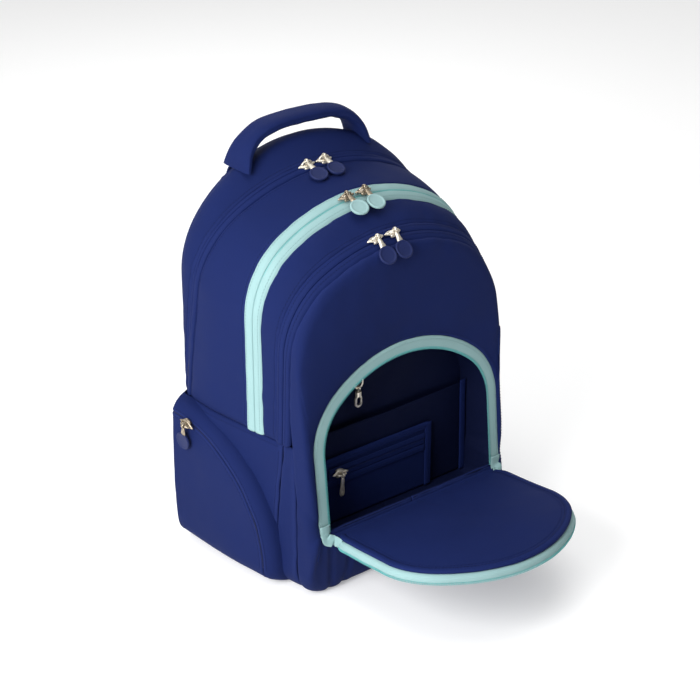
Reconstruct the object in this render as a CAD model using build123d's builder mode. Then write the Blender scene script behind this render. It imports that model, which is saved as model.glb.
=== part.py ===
from build123d import *

# School backpack with three zipped compartments, zipped side pockets and an open lower front pocket.
# Millimetres. +X is the wearer's right, -Y is the front, +Z is up. The origin is on the floor under the bag.

import os
from collections import namedtuple
from math import atan2, cos, radians, sin, sqrt

os.makedirs("parts", exist_ok=True)

Arch = namedtuple("Arch", "half_width spring apex corner")
ZipLine = namedtuple("ZipLine", "plane arch foot")

# ---------------------------------------------------------------- driving dimensions
WALL = 3.0
GAP = 0.3
SEAM_Z = 176.0
BACK_Y = 100.0
PANEL_THICKNESS = 3.0
FOAM_FRONT_Y = 88.0
SIDE_SEAM_Y = -62.0
FRONT_SEAM_Y = -80.0
HALF_SPAN = 220.0
FOOT_RADIUS = 26.0

# Outline of the bag at stations along Y, from the back seam to past the front face.
STATIONS = [
    (BACK_Y, Arch(147.0, 318.0, 438.0, 95.0)),
    (80.0, Arch(154.0, 320.0, 450.0, 95.0)),
    (45.0, Arch(153.0, 310.0, 422.0, 95.0)),
    (-22.0, Arch(143.0, 302.0, 407.0, 90.0)),
    (-70.0, Arch(136.0, 276.0, 376.0, 88.0)),
    (-114.0, Arch(131.0, 250.0, 352.0, 85.0)),
]

TAPE_THICKNESS = 1.4
COIL_HEIGHT = 1.6
COIL_HALF = 2.8

POCKET_CENTRE_X = 4.0
FLAP_TILT = 8.0
FLAP_SHIFT = 3.0
FLAP_STANDOFF = 4.0
FLAP_HINGE_HEIGHT = 78.0
FLAP_ARCH = Arch(115.0, 88.0, 181.0, 78.0)
FLAP_ROOT = 3.0
SKIRT_DEPTH = 12.0

POCKET_BACK_Y = -46.0
POCKET_FLOOR_Z = 50.0
LINER = 2.0
LINER_ARCH = Arch(122.0, 165.0, 257.0, 76.0)

SLIP_FACE_Y = -54.6
SLIP_THICKNESS = 1.4
SLIP_TOP_Z = 165.0
ZIP_POCKET_FACE_Y = -58.5
ZIP_POCKET_LINE_Z = 115.0

SIDE_CENTRE_Y = 95.0
SIDE_CENTRE_Z = 20.0
SIDE_RADIUS = 156.0
SIDE_ZIP_RADIUS = 141.5
SIDE_ORIGIN_X = 148.4
SIDE_SLANT = 6.5
SIDE_EDGE_DEPTH = 4.6
SIDE_FACE_DEPTH = 12.6
SIDE_FOOT_Z = 4.0

SLIDER_LENGTH = 20.0
SLIDER_WIDTH = 9.2
SLIDER_LIFT = 0.4
SLIDER_HEIGHT = 4.1
CROWN_HEIGHT = 8.0
DISC_RADIUS = 10.0
DISC_REACH = 22.0
DISC_HALF = 1.6
PAIR_CENTRE_X = -11.0
PAIR_SPACING = 22.0

HANDLE_X = -3.0
HANDLE_Y = 84.0
HANDLE_HALF = 15.0
HANDLE_FOOT_Z = 442.0
HANDLE_TOP_Z = 470.0
HANDLE_UNDER_Z = 461.5
HANDLE_OUTER_SPAN = 72.0
HANDLE_INNER_SPAN = 57.0

CLIP_X = -30.0
CLIP_Y = -53.0
CLIP_PIVOT_Z = 214.0
CLIP_EYE_Z = 203.9
HOOK_FOOT_Z = 181.0
HOOK_TOP_Z = 195.0


# ---------------------------------------------------------------- shared geometry
def leaning_plane(y_at_apex, apex_z, lean, centre_x=0.0):
    """Plane across the bag with its origin on the floor; lean is the change in Y per unit of Z."""
    return Plane(
        origin=(centre_x, y_at_apex - lean * apex_z, 0), x_dir=(1, 0, 0), z_dir=(0, -1, lean)
    )


def stretch(lean):
    """Length along a leaning plane for one unit of height."""
    return sqrt(1 + lean**2)


def crown_radius(arch):
    """Radius of the flatter top arc that joins the two shoulder arcs without a kink."""
    rise = arch.apex - arch.spring
    reach = arch.half_width - arch.corner
    return (reach**2 + rise**2 - arch.corner**2) / (2 * (rise - arch.corner))


def inset_arch(arch, inset):
    return Arch(arch.half_width - inset, arch.spring, arch.apex - inset, arch.corner - inset)


def arch_outline(arch, foot=0.0, foot_radius=0.0):
    """Closed outline: flat foot, straight sides, round shoulders and one crown arc."""
    width = arch.half_width
    reach = width - arch.corner
    crown = crown_radius(arch)
    crown_z = arch.apex - crown
    join = atan2(reach, arch.spring - crown_z)
    shoulder = (join + radians(90)) / 2
    join_point = (crown * sin(join), crown_z + crown * cos(join))
    shoulder_point = (reach + arch.corner * sin(shoulder), arch.spring + arch.corner * cos(shoulder))
    inner = width - foot_radius
    Line((-inner, foot), (inner, foot))
    if foot_radius:
        bend = foot_radius * (1 - sin(radians(45)))
        ThreePointArc((inner, foot), (width - bend, foot + bend), (width, foot + foot_radius))
        ThreePointArc((-width, foot + foot_radius), (-width + bend, foot + bend), (-inner, foot))
    Line((width, foot + foot_radius), (width, arch.spring))
    ThreePointArc((width, arch.spring), shoulder_point, join_point)
    ThreePointArc(join_point, (0, arch.apex), (-join_point[0], join_point[1]))
    ThreePointArc(
        (-join_point[0], join_point[1]), (-shoulder_point[0], shoulder_point[1]), (-width, arch.spring)
    )
    Line((-width, arch.spring), (-width, foot + foot_radius))


def envelope(inset):
    """The bag's whole outer form, pulled in by inset on every side."""
    with BuildPart() as form:
        for y, arch in STATIONS:
            with BuildSketch(Plane.XZ.offset(-y)):
                with BuildLine():
                    arch_outline(inset_arch(arch, inset), inset, FOOT_RADIUS - inset)
                make_face()
        loft(ruled=True)
        with BuildSketch(Plane.YZ) as side:
            with BuildLine():
                Polyline(
                    (BACK_Y, 470), (BACK_Y, 0), (-95, 0), (-108, 52), (-86, 261), (-75, 372), (-72, 470),
                    close=True,
                )
            make_face()
            low_corners = side.vertices().group_by(Axis.Y)[0]
            fillet(low_corners, 26)
            if inset:
                offset(amount=-inset, mode=Mode.REPLACE)
        extrude(amount=HALF_SPAN, both=True, mode=Mode.INTERSECT)
    return form.part


def slab(points):
    """Full-width block with the given outline in the YZ plane."""
    with BuildPart() as block:
        with BuildSketch(Plane.YZ):
            with BuildLine():
                Polyline(points, close=True)
            make_face()
        extrude(amount=HALF_SPAN, both=True)
    return block.part


def arch_ring(line, outer, inner, low, high):
    """Strip along a zip line's arch, open at its foot, between two insets and two depths."""
    with BuildPart() as strip:
        with BuildSketch(line.plane.offset(low)):
            with BuildLine():
                arch_outline(inset_arch(line.arch, outer), line.foot)
            make_face()
            with BuildLine():
                arch_outline(inset_arch(line.arch, inner), line.foot - 20)
            make_face(mode=Mode.SUBTRACT)
        extrude(amount=high - low)
    return strip.part


def save(part, name):
    part.label = name
    export_step(part, f"parts/{name}.step")


# ---------------------------------------------------------------- zip lines
REAR_LEAN = -0.195
FRONT_LEAN = -0.04
POCKET_LEAN = 0.105

REAR_ZIP = ZipLine(
    leaning_plane(45.0, 422.0, REAR_LEAN),
    Arch(153.0, 316.0, 422.0 * stretch(REAR_LEAN), 95.0),
    SEAM_Z * stretch(REAR_LEAN) + 1,
)
MIDDLE_ZIP = ZipLine(leaning_plane(-22.0, 407.0, 0.0), STATIONS[3][1], SEAM_Z + 1)
FRONT_ZIP = ZipLine(
    leaning_plane(-70.0, 376.0, FRONT_LEAN),
    Arch(136.0, 276.0, 376.0 * stretch(FRONT_LEAN), 88.0),
    SEAM_Z + 1,
)
POCKET_ZIP = ZipLine(
    leaning_plane(-86.0, 261.0, POCKET_LEAN, POCKET_CENTRE_X), Arch(126.0, 166.0, 262.4, 80.0), 80.5
)


def zip_y(line, z):
    """Y of a zip line's plane at a height."""
    origin = line.plane.origin
    up = line.plane.y_dir
    return origin.Y + z * up.Y / up.Z


def crown_seat(line, angle):
    """Seat on a zip line's crown: x along the zip, z outward, turned by angle to the right."""
    crown = crown_radius(line.arch)
    turn = radians(angle)
    along = line.plane.x_dir * cos(turn) - line.plane.y_dir * sin(turn)
    outward = line.plane.x_dir * sin(turn) + line.plane.y_dir * cos(turn)
    centre = line.plane.origin + line.plane.y_dir * (line.arch.apex - crown)
    return Plane(origin=centre + outward * crown, x_dir=along, z_dir=outward)


def crown_angle(line, x):
    """Angle on the crown arc, in degrees, that stands above a given X."""
    crown = crown_radius(line.arch)
    return atan2(x, sqrt(crown**2 - x**2)) / radians(1)


def make_zip(line, half, name):
    """Tape with its coil standing on it, as two solids."""
    with BuildPart() as tape:
        add(arch_ring(line, GAP, GAP + TAPE_THICKNESS, -half, half))
    with BuildPart() as coil:
        add(arch_ring(line, GAP - COIL_HEIGHT, GAP, -COIL_HALF, COIL_HALF))
    save(Compound(children=[tape.part, coil.part]), name)


REAR_TAPE_HALF = 6.0
MIDDLE_TAPE_HALF = 12.0
FRONT_TAPE_HALF = 8.0


def zip_zone(line, half):
    """Space that the panels leave for a zip."""
    return arch_ring(line, -10.0, 9.0, -half - GAP, half + GAP)


# ---------------------------------------------------------------- shell of the bag
outer_form = envelope(0.0)
inner_form = envelope(WALL)
liner_form = envelope(WALL + GAP)
TOP = 480.0
UNDER = -5.0
ABOVE_SEAM = SEAM_Z + GAP / 2
BELOW_SEAM = SEAM_Z - GAP / 2

shell_regions = {
    "rear_gusset": [
        (zip_y(REAR_ZIP, ABOVE_SEAM), ABOVE_SEAM),
        (zip_y(REAR_ZIP, TOP), TOP),
        (BACK_Y - PANEL_THICKNESS, TOP),
        (BACK_Y - PANEL_THICKNESS, ABOVE_SEAM),
    ],
    "middle_gusset": [
        (zip_y(MIDDLE_ZIP, 0), ABOVE_SEAM),
        (zip_y(MIDDLE_ZIP, 0), TOP),
        (zip_y(REAR_ZIP, TOP), TOP),
        (zip_y(REAR_ZIP, ABOVE_SEAM), ABOVE_SEAM),
    ],
    "front_gusset": [
        (SIDE_SEAM_Y, UNDER),
        (SIDE_SEAM_Y, BELOW_SEAM),
        (zip_y(MIDDLE_ZIP, 0), BELOW_SEAM),
        (zip_y(MIDDLE_ZIP, 0), TOP),
        (zip_y(FRONT_ZIP, TOP), TOP),
        (zip_y(FRONT_ZIP, ABOVE_SEAM), ABOVE_SEAM),
        (FRONT_SEAM_Y, ABOVE_SEAM),
        (FRONT_SEAM_Y, UNDER),
    ],
    "lower_body": [
        (SIDE_SEAM_Y + GAP, UNDER),
        (SIDE_SEAM_Y + GAP, BELOW_SEAM - GAP),
        (BACK_Y - PANEL_THICKNESS, BELOW_SEAM - GAP),
        (BACK_Y - PANEL_THICKNESS, UNDER),
    ],
    "front_panel": [
        (-130.0, UNDER),
        (-130.0, TOP),
        (zip_y(FRONT_ZIP, TOP), TOP),
        (zip_y(FRONT_ZIP, ABOVE_SEAM + GAP), ABOVE_SEAM + GAP),
        (FRONT_SEAM_Y - GAP, ABOVE_SEAM + GAP),
        (FRONT_SEAM_Y - GAP, UNDER),
    ],
}

rear_zone = zip_zone(REAR_ZIP, REAR_TAPE_HALF)
middle_zone = zip_zone(MIDDLE_ZIP, MIDDLE_TAPE_HALF)
front_zone = zip_zone(FRONT_ZIP, FRONT_TAPE_HALF)

for name, outline in shell_regions.items():
    with BuildPart() as piece:
        add(outer_form)
        add(inner_form, mode=Mode.SUBTRACT)
        add(slab(outline), mode=Mode.INTERSECT)
        for zone in (rear_zone, middle_zone, front_zone):
            add(zone, mode=Mode.SUBTRACT)
        if name == "front_panel":
            with BuildSketch(POCKET_ZIP.plane.offset(-20)):
                with BuildLine():
                    arch_outline(POCKET_ZIP.arch, POCKET_ZIP.foot)
                make_face()
            extrude(amount=40, mode=Mode.SUBTRACT)
    save(piece.solids().sort_by(SortBy.VOLUME)[-1], name)

with BuildPart() as back_panel:
    add(outer_form)
    add(slab([(BACK_Y - PANEL_THICKNESS, UNDER), (BACK_Y - PANEL_THICKNESS, TOP), (BACK_Y + 5, TOP),
              (BACK_Y + 5, UNDER)]), mode=Mode.INTERSECT)
save(back_panel.part, "back_panel")

make_zip(REAR_ZIP, REAR_TAPE_HALF, "rear_zip")
make_zip(MIDDLE_ZIP, MIDDLE_TAPE_HALF, "middle_zip")
make_zip(FRONT_ZIP, FRONT_TAPE_HALF, "front_zip")


# ---------------------------------------------------------------- inside of the compartments
def inner_sheet(low_y, high_y, low_z, high_z, name):
    """Sheet that fills the bag's section between two depths and two heights."""
    with BuildPart() as sheet:
        add(liner_form)
        add(slab([(low_y, low_z), (low_y, high_z), (high_y, high_z), (high_y, low_z)]),
            mode=Mode.INTERSECT)
        for zone in (rear_zone, middle_zone, front_zone):
            add(zone, mode=Mode.SUBTRACT)
    save(sheet.part, name)


BOARD_TOP = 6.3
inner_sheet(FOAM_FRONT_Y, BACK_Y - PANEL_THICKNESS - GAP, BOARD_TOP + GAP, 404.0, "back_foam")
inner_sheet(36.0, 38.0, BOARD_TOP + GAP, TOP, "rear_divider")
inner_sheet(-34.0, -32.0, BOARD_TOP + GAP, TOP, "middle_divider")
inner_sheet(-58.0, FOAM_FRONT_Y - GAP, UNDER, BOARD_TOP, "base_board")

# ---------------------------------------------------------------- lower front pocket
with BuildPart() as pocket_liner:
    with BuildSketch(Plane.XZ.offset(-POCKET_BACK_Y)):
        with BuildLine():
            arch_outline(LINER_ARCH, POCKET_FLOOR_Z)
        make_face()
    extrude(amount=80)
    add(liner_form, mode=Mode.INTERSECT)
    with BuildSketch(Plane.XZ.offset(-POCKET_BACK_Y + LINER)):
        with BuildLine():
            arch_outline(inset_arch(LINER_ARCH, LINER), POCKET_FLOOR_Z + LINER)
        make_face()
    extrude(amount=80, mode=Mode.SUBTRACT)
save(pocket_liner.part, "pocket_liner")

POCKET_TAPE_WIDTH = 15.0
with BuildPart() as pocket_tape:
    add(arch_ring(POCKET_ZIP, GAP, POCKET_TAPE_WIDTH, -2.0, 0.0))
with BuildPart() as pocket_coil:
    add(arch_ring(POCKET_ZIP, POCKET_TAPE_WIDTH - 3, POCKET_TAPE_WIDTH, 0.0, 1.2))
save(Compound(children=[pocket_tape.part, pocket_coil.part]), "pocket_zip")

with BuildPart() as slip_pocket:
    with BuildSketch(Plane.XZ.offset(-SLIP_FACE_Y - SLIP_THICKNESS)):
        with Locations((0, (SLIP_TOP_Z + POCKET_FLOOR_Z + LINER) / 2)):
            Rectangle(2 * (LINER_ARCH.half_width - LINER), SLIP_TOP_Z - POCKET_FLOOR_Z - LINER)
    extrude(amount=SLIP_THICKNESS)
save(slip_pocket.part, "slip_pocket")

ZIP_POCKET_LOW_X = -78.0
ZIP_POCKET_HIGH_X = 66.0
ZIP_POCKET_TOP_Z = 131.0
zip_pocket_mid_x = (ZIP_POCKET_LOW_X + ZIP_POCKET_HIGH_X) / 2
zip_pocket_width = ZIP_POCKET_HIGH_X - ZIP_POCKET_LOW_X
zip_pocket_low_z = POCKET_FLOOR_Z + LINER
with BuildPart() as zip_pocket:
    with BuildSketch(Plane.XZ.offset(-SLIP_FACE_Y)):
        with Locations((zip_pocket_mid_x, (ZIP_POCKET_TOP_Z + zip_pocket_low_z) / 2)):
            Rectangle(zip_pocket_width, ZIP_POCKET_TOP_Z - zip_pocket_low_z)
    extrude(amount=SLIP_FACE_Y - ZIP_POCKET_FACE_Y)
save(zip_pocket.part, "inner_zip_pocket")

with BuildPart() as inner_tape:
    with BuildSketch(Plane.XZ.offset(-ZIP_POCKET_FACE_Y)):
        with Locations((zip_pocket_mid_x, ZIP_POCKET_LINE_Z)):
            Rectangle(zip_pocket_width - 10, 12)
    extrude(amount=0.8)
with BuildPart() as inner_coil:
    with BuildSketch(Plane.XZ.offset(-ZIP_POCKET_FACE_Y + 0.8)):
        with Locations((zip_pocket_mid_x, ZIP_POCKET_LINE_Z)):
            Rectangle(zip_pocket_width - 14, 2 * COIL_HALF)
    extrude(amount=COIL_HEIGHT)
save(Compound(children=[inner_tape.part, inner_coil.part]), "inner_zip")

# ---------------------------------------------------------------- flap of the lower front pocket
pocket_plane = POCKET_ZIP.plane
flap_hinge = (
    pocket_plane.origin
    + pocket_plane.x_dir * FLAP_SHIFT
    + pocket_plane.y_dir * FLAP_HINGE_HEIGHT
    + pocket_plane.z_dir * FLAP_STANDOFF
)
tilt = radians(FLAP_TILT)
flap_plane = Plane(origin=flap_hinge, x_dir=(1, 0, 0), z_dir=(0, -sin(tilt), -cos(tilt)))
FLAP_LINE = ZipLine(flap_plane, FLAP_ARCH, FLAP_ROOT)
BINDING = 7.0


def flap_sheet(inset, low, high, name):
    """Layer of the flap that lies inside its rim binding."""
    with BuildPart() as sheet:
        with BuildSketch(flap_plane.offset(low)):
            with BuildLine():
                arch_outline(inset_arch(FLAP_ARCH, inset), FLAP_ROOT)
            make_face()
        extrude(amount=high - low)
    save(sheet.part, name)


flap_sheet(BINDING, 0.0, 1.2, "flap_lining")
flap_sheet(BINDING, 1.2, 3.4, "flap_panel")
with BuildPart() as flap_binding:
    add(arch_ring(FLAP_LINE, 0.0, BINDING, -1.2, 4.6))
save(flap_binding.part, "flap_binding")

SKIRT_LINE = ZipLine(flap_plane, FLAP_ARCH, FLAP_ROOT + 5)
with BuildPart() as flap_tape:
    add(arch_ring(SKIRT_LINE, -3.5, 0.0, 0.0, 1.4))
    add(arch_ring(SKIRT_LINE, -3.5, -2.0, 0.0, SKIRT_DEPTH))
with BuildPart() as flap_coil:
    add(arch_ring(SKIRT_LINE, -4.5, -1.0, SKIRT_DEPTH, SKIRT_DEPTH + 2.0))
save(Compound(children=[flap_tape.part, flap_coil.part]), "flap_zip")


# ---------------------------------------------------------------- side pockets
slant = radians(SIDE_SLANT)
side_plane = Plane(
    origin=(-SIDE_ORIGIN_X, 0, 0), x_dir=(-sin(slant), cos(slant), 0), z_dir=(cos(slant), sin(slant), 0)
)


def side_outline(depth, radius, low_z):
    """Quarter disc parallel to the bag's left side, the outline of a side pocket."""
    drop = low_z - SIDE_CENTRE_Z
    back = SIDE_CENTRE_Y - 1
    front = SIDE_CENTRE_Y - sqrt(radius**2 - drop**2)
    top = SIDE_CENTRE_Z + sqrt(radius**2 - 1)
    diagonal = radius * sin(radians(45))
    with BuildSketch(side_plane.offset(-depth)) as outline:
        with BuildLine():
            Line((back, low_z), (front, low_z))
            ThreePointArc(
                (front, low_z), (SIDE_CENTRE_Y - diagonal, SIDE_CENTRE_Z + diagonal), (back, top)
            )
            Line((back, top), (back, low_z))
        make_face()
    return outline.sketch


SIDE_BEVEL = 8.0
with BuildPart() as side_pocket:
    add(side_outline(0.0, SIDE_RADIUS, SIDE_FOOT_Z))
    add(side_outline(SIDE_EDGE_DEPTH, SIDE_RADIUS, SIDE_FOOT_Z))
    add(side_outline(SIDE_FACE_DEPTH, SIDE_RADIUS - SIDE_BEVEL, SIDE_FOOT_Z + SIDE_BEVEL))
    loft(ruled=True)
    add(side_outline(0.0, SIDE_RADIUS - WALL, SIDE_FOOT_Z + WALL))
    add(side_outline(SIDE_EDGE_DEPTH, SIDE_RADIUS - WALL, SIDE_FOOT_Z + WALL))
    add(side_outline(SIDE_FACE_DEPTH - WALL, SIDE_RADIUS - SIDE_BEVEL - 1, SIDE_FOOT_Z + SIDE_BEVEL + 1))
    loft(ruled=True, mode=Mode.SUBTRACT)
save(side_pocket.part, "side_pocket_left")
save(mirror(side_pocket.part, about=Plane.YZ), "side_pocket_right")


def side_ring(depth, thickness, inner, outer):
    """Sector of a ring on the left side pocket's outer face."""
    with BuildPart() as sector:
        with BuildSketch(side_plane.offset(-depth)):
            with Locations((SIDE_CENTRE_Y, SIDE_CENTRE_Z)):
                Circle(outer)
                Circle(inner, mode=Mode.SUBTRACT)
            with Locations((SIDE_CENTRE_Y - 12 - 100, 22 + 100)):
                Rectangle(200, 200, mode=Mode.INTERSECT)
        extrude(amount=-thickness)
    return sector.part


SIDE_TAPE = 1.2
side_tape = side_ring(SIDE_FACE_DEPTH, SIDE_TAPE, SIDE_ZIP_RADIUS - 5, SIDE_ZIP_RADIUS + 5)
side_coil = side_ring(
    SIDE_FACE_DEPTH + SIDE_TAPE, COIL_HEIGHT, SIDE_ZIP_RADIUS - COIL_HALF, SIDE_ZIP_RADIUS + COIL_HALF
)
right_zip = [mirror(piece, about=Plane.YZ) for piece in (side_tape, side_coil)]
save(Compound(children=[side_tape, side_coil, *right_zip]), "side_zips")

# ---------------------------------------------------------------- sliders and their pulls


def make_slider(seat, shift):
    """Slider body that straddles the coil, with a crown bar for the pull; shift moves the bar forward."""
    with BuildPart() as slider:
        with BuildSketch(seat.offset(SLIDER_LIFT)):
            SlotOverall(SLIDER_LENGTH, SLIDER_WIDTH)
        extrude(amount=SLIDER_HEIGHT)
        with BuildSketch(seat):
            Rectangle(SLIDER_LENGTH + 4, 2 * COIL_HALF + 1.2)
        extrude(amount=SLIDER_LIFT + 2.2, mode=Mode.SUBTRACT)
        with BuildSketch(seat.offset(SLIDER_LIFT + 3)):
            with Locations((-3.8, -shift), (3.8, -shift)):
                Rectangle(1.4, 2.8)
        extrude(amount=CROWN_HEIGHT + 1.2 - SLIDER_LIFT - 3)
        bar_start = seat.from_local_coords(Vector(-4, -shift, CROWN_HEIGHT))
        with BuildSketch(Plane(origin=bar_start, x_dir=seat.y_dir, z_dir=seat.x_dir)):
            Circle(1.1)
        extrude(amount=8)
    return slider.part


def pull_plane(seat, shift, droop):
    """Plane of a pull that hangs towards its own -y, droop degrees below the seat's tangent plane."""
    axis_point = seat.from_local_coords(Vector(0, -shift, CROWN_HEIGHT))
    fall = radians(droop)
    normal = seat.z_dir * cos(fall) - seat.y_dir * sin(fall)
    return Plane(origin=axis_point, x_dir=seat.x_dir, z_dir=normal)


def make_pull(seat, shift, droop, disc):
    """Metal tab on the crown bar, with either a moulded disc or a long tab with a round hole."""
    hang = pull_plane(seat, shift, droop)
    eye_start = hang.origin - hang.x_dir * 2
    tab_end = DISC_REACH - DISC_RADIUS + 4 if disc else 27.0
    with BuildPart() as tab:
        with BuildSketch(Plane(origin=eye_start, x_dir=hang.y_dir, z_dir=hang.x_dir)):
            Circle(3.0)
        extrude(amount=4)
        with BuildSketch(hang.offset(-0.8)):
            with Locations((0, -(1.0 + tab_end) / 2)):
                Rectangle(6.0, tab_end - 1.0)
        extrude(amount=1.6)
        with BuildSketch(Plane(origin=hang.origin - hang.x_dir * 3, x_dir=hang.y_dir, z_dir=hang.x_dir)):
            Circle(1.7)
        extrude(amount=6, mode=Mode.SUBTRACT)
        if not disc:
            with BuildSketch(hang.offset(-0.8)):
                with Locations((0, 4.0 - tab_end)):
                    Circle(1.6)
            extrude(amount=1.6, mode=Mode.SUBTRACT)
    if not disc:
        return tab.part
    with BuildPart() as button:
        with BuildSketch(hang.offset(-DISC_HALF)):
            with Locations((0, -DISC_REACH)):
                Circle(DISC_RADIUS)
        extrude(amount=2 * DISC_HALF)
        add(tab.part, mode=Mode.SUBTRACT)
    return Compound(children=[tab.part, button.part])


def side_seat(angle):
    """Seat on the left side zip: x along the zip towards its lower end, z outward."""
    turn = radians(angle)
    point = Vector(
        SIDE_CENTRE_Y - SIDE_ZIP_RADIUS * sin(turn),
        SIDE_CENTRE_Z + SIDE_ZIP_RADIUS * cos(turn),
        -SIDE_FACE_DEPTH - SIDE_TAPE,
    )
    along = side_plane.x_dir * -cos(turn) - side_plane.y_dir * sin(turn)
    return Plane(origin=side_plane.from_local_coords(point), x_dir=along, z_dir=-side_plane.z_dir)


SIDE_START = 12.0
FLAP_SLIDER_START = 20.0
INNER_START_X = -62.0
flap_outward = flap_plane.z_dir
flap_along = flap_plane.y_dir
flap_seat = Plane(
    origin=flap_plane.origin
    + flap_plane.x_dir * (FLAP_ARCH.half_width + 2.75)
    + flap_along * FLAP_SLIDER_START
    + flap_outward * (SKIRT_DEPTH + GAP),
    x_dir=flap_along,
    z_dir=flap_outward,
)
inner_seat = Plane(
    origin=(INNER_START_X, ZIP_POCKET_FACE_Y - 0.8, ZIP_POCKET_LINE_Z), x_dir=(1, 0, 0), z_dir=(0, -1, 0)
)

# name: (seat, forward shift of the crown bar, droop of the pull in degrees, disc on the pull)
slider_sets = {}
for name, line, shift, droop in (
    ("rear", REAR_ZIP, 0.0, 10.0),
    ("middle", MIDDLE_ZIP, 2.0, 26.0),
    ("front", FRONT_ZIP, 4.0, 46.0),
):
    for side, sign in (("left", -1), ("right", 1)):
        place = crown_angle(line, PAIR_CENTRE_X + sign * PAIR_SPACING / 2)
        slider_sets[f"{name}_{side}"] = (crown_seat(line, place), shift, droop, True)
slider_sets["side_left"] = (side_seat(SIDE_START), 0.0, 6.0, True)
slider_sets["flap"] = (flap_seat, 0.0, -90.0, True)
slider_sets["inner"] = (inner_seat, 0.0, 4.0, False)

for name, (seat, shift, droop, disc) in slider_sets.items():
    slider = make_slider(seat, shift)
    pull = make_pull(seat, shift, droop, disc)
    save(slider, f"{name}_slider")
    save(pull, f"{name}_pull")
    if name == "side_left":
        save(mirror(slider, about=Plane.YZ), "side_right_slider")
        pull_pieces = [mirror(piece, about=Plane.YZ) for piece in pull.solids()]
        save(Compound(children=pull_pieces), "side_right_pull")


# ---------------------------------------------------------------- carry handle
def handle_band(inset, half):
    """Arched band of the carry handle, pulled in by inset all round."""
    outer = HANDLE_OUTER_SPAN - inset
    inner = HANDLE_INNER_SPAN + inset
    foot = HANDLE_FOOT_Z + inset
    plane = Plane(origin=(HANDLE_X, HANDLE_Y, 0), x_dir=(1, 0, 0), z_dir=(0, -1, 0))
    with BuildPart() as band:
        with BuildSketch(plane):
            with BuildLine():
                ThreePointArc((-outer, foot), (0, HANDLE_TOP_Z - inset), (outer, foot))
                Line((outer, foot), (inner, foot))
                ThreePointArc((inner, foot), (0, HANDLE_UNDER_Z + inset), (-inner, foot))
                Line((-inner, foot), (-outer, foot))
            make_face()
        extrude(amount=half, both=True)
    return band.part


HANDLE_SKIN = 2.5
handle_core = handle_band(HANDLE_SKIN, HANDLE_HALF - HANDLE_SKIN)
with BuildPart() as carry_handle:
    add(handle_band(0.0, HANDLE_HALF))
    fillet(carry_handle.edges().filter_by(GeomType.CIRCLE), 2.0)
    add(handle_core, mode=Mode.SUBTRACT)
save(carry_handle.part, "carry_handle")
save(handle_core, "handle_core")

# ---------------------------------------------------------------- back pads
with BuildPart() as back_pads:
    with BuildSketch(Plane.XZ.offset(-BACK_Y - GAP)):
        with Locations((-54, 244), (54, 244)):
            RectangleRounded(88, 252, 26)
        with Locations((0, 76)):
            RectangleRounded(190, 62, 24)
    extrude(amount=-8.5)
    fillet(back_pads.faces().filter_by(Axis.Y).group_by(Axis.Y)[-1].edges(), 4)
save(back_pads.part, "back_pads")

# ---------------------------------------------------------------- shoulder straps
STRAP_THICKNESS = 12.0
STRAP_TOP_Z = 400.0
STRAP_END_Z = 150.0
LOCK_X = -93.0
LOCK_BAR_Z = 143.0
LOCK_BAR_Y = 125.0
UPPER_ANCHOR = Vector(-46.0, 108.0, 422.0)
LOWER_ANCHOR = Vector(-128.0, 106.0, 40.0)

with BuildPart() as strap:
    with BuildSketch(Plane.XZ.offset(-100)):
        with BuildLine():
            Spline((-74, STRAP_TOP_Z), (-90, 330), (-113, 240), (-113, STRAP_END_Z))
            Line((-113, STRAP_END_Z), (-73, STRAP_END_Z))
            Spline((-73, STRAP_END_Z), (-60, 240), (-32, 330), (-18, STRAP_TOP_Z))
            Line((-18, STRAP_TOP_Z), (-74, STRAP_TOP_Z))
        make_face()
    extrude(amount=-70)
    with BuildSketch(Plane.YZ):
        with BuildLine():
            Spline((120, STRAP_TOP_Z), (138, 320), (138, 235), (119, STRAP_END_Z))
            Line((119, STRAP_END_Z), (119 + STRAP_THICKNESS, STRAP_END_Z))
            Spline((119 + STRAP_THICKNESS, STRAP_END_Z), (138 + STRAP_THICKNESS, 235),
                   (138 + STRAP_THICKNESS, 320), (120 + STRAP_THICKNESS, STRAP_TOP_Z))
            Line((120 + STRAP_THICKNESS, STRAP_TOP_Z), (120, STRAP_TOP_Z))
        make_face()
    extrude(amount=-HALF_SPAN, mode=Mode.INTERSECT)
    with BuildSketch(Plane.YZ.offset(LOCK_X - 10)):
        with Locations((LOCK_BAR_Y, LOCK_BAR_Z)):
            Circle(4.2)
        with Locations((LOCK_BAR_Y, (LOCK_BAR_Z + STRAP_END_Z + 4) / 2)):
            Rectangle(6, STRAP_END_Z + 4 - LOCK_BAR_Z)
        with Locations((LOCK_BAR_Y, LOCK_BAR_Z)):
            Circle(2.6, mode=Mode.SUBTRACT)
    extrude(amount=20)

with BuildPart() as webbing:
    top_end = Vector(-100.0, LOCK_BAR_Y - 2, 112.0)
    low_end = Vector(-125.0, LOWER_ANCHOR.Y, 50.0)
    run = low_end - top_end
    across = run.cross(Vector(0, 1, 0)).normalized()
    strip_plane = Plane(origin=top_end, x_dir=across, z_dir=run.normalized())
    with BuildSketch(strip_plane):
        Rectangle(25, 1.8)
    extrude(amount=run.length)

with BuildPart() as ladder_lock:
    with BuildSketch(Plane.XZ.offset(-LOCK_BAR_Y - 2)):
        with Locations((LOCK_X, LOCK_BAR_Z - 11)):
            RectangleRounded(34, 27, 3)
        with Locations((LOCK_X, LOCK_BAR_Z - 7)):
            Rectangle(24, 29, mode=Mode.SUBTRACT)
        with Locations((LOCK_X, LOCK_BAR_Z - 12)):
            Rectangle(28, 3.4)
    extrude(amount=4)
    with BuildSketch(Plane.YZ.offset(LOCK_X - 14)):
        with Locations((LOCK_BAR_Y, LOCK_BAR_Z)):
            Circle(1.9)
    extrude(amount=28)

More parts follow.
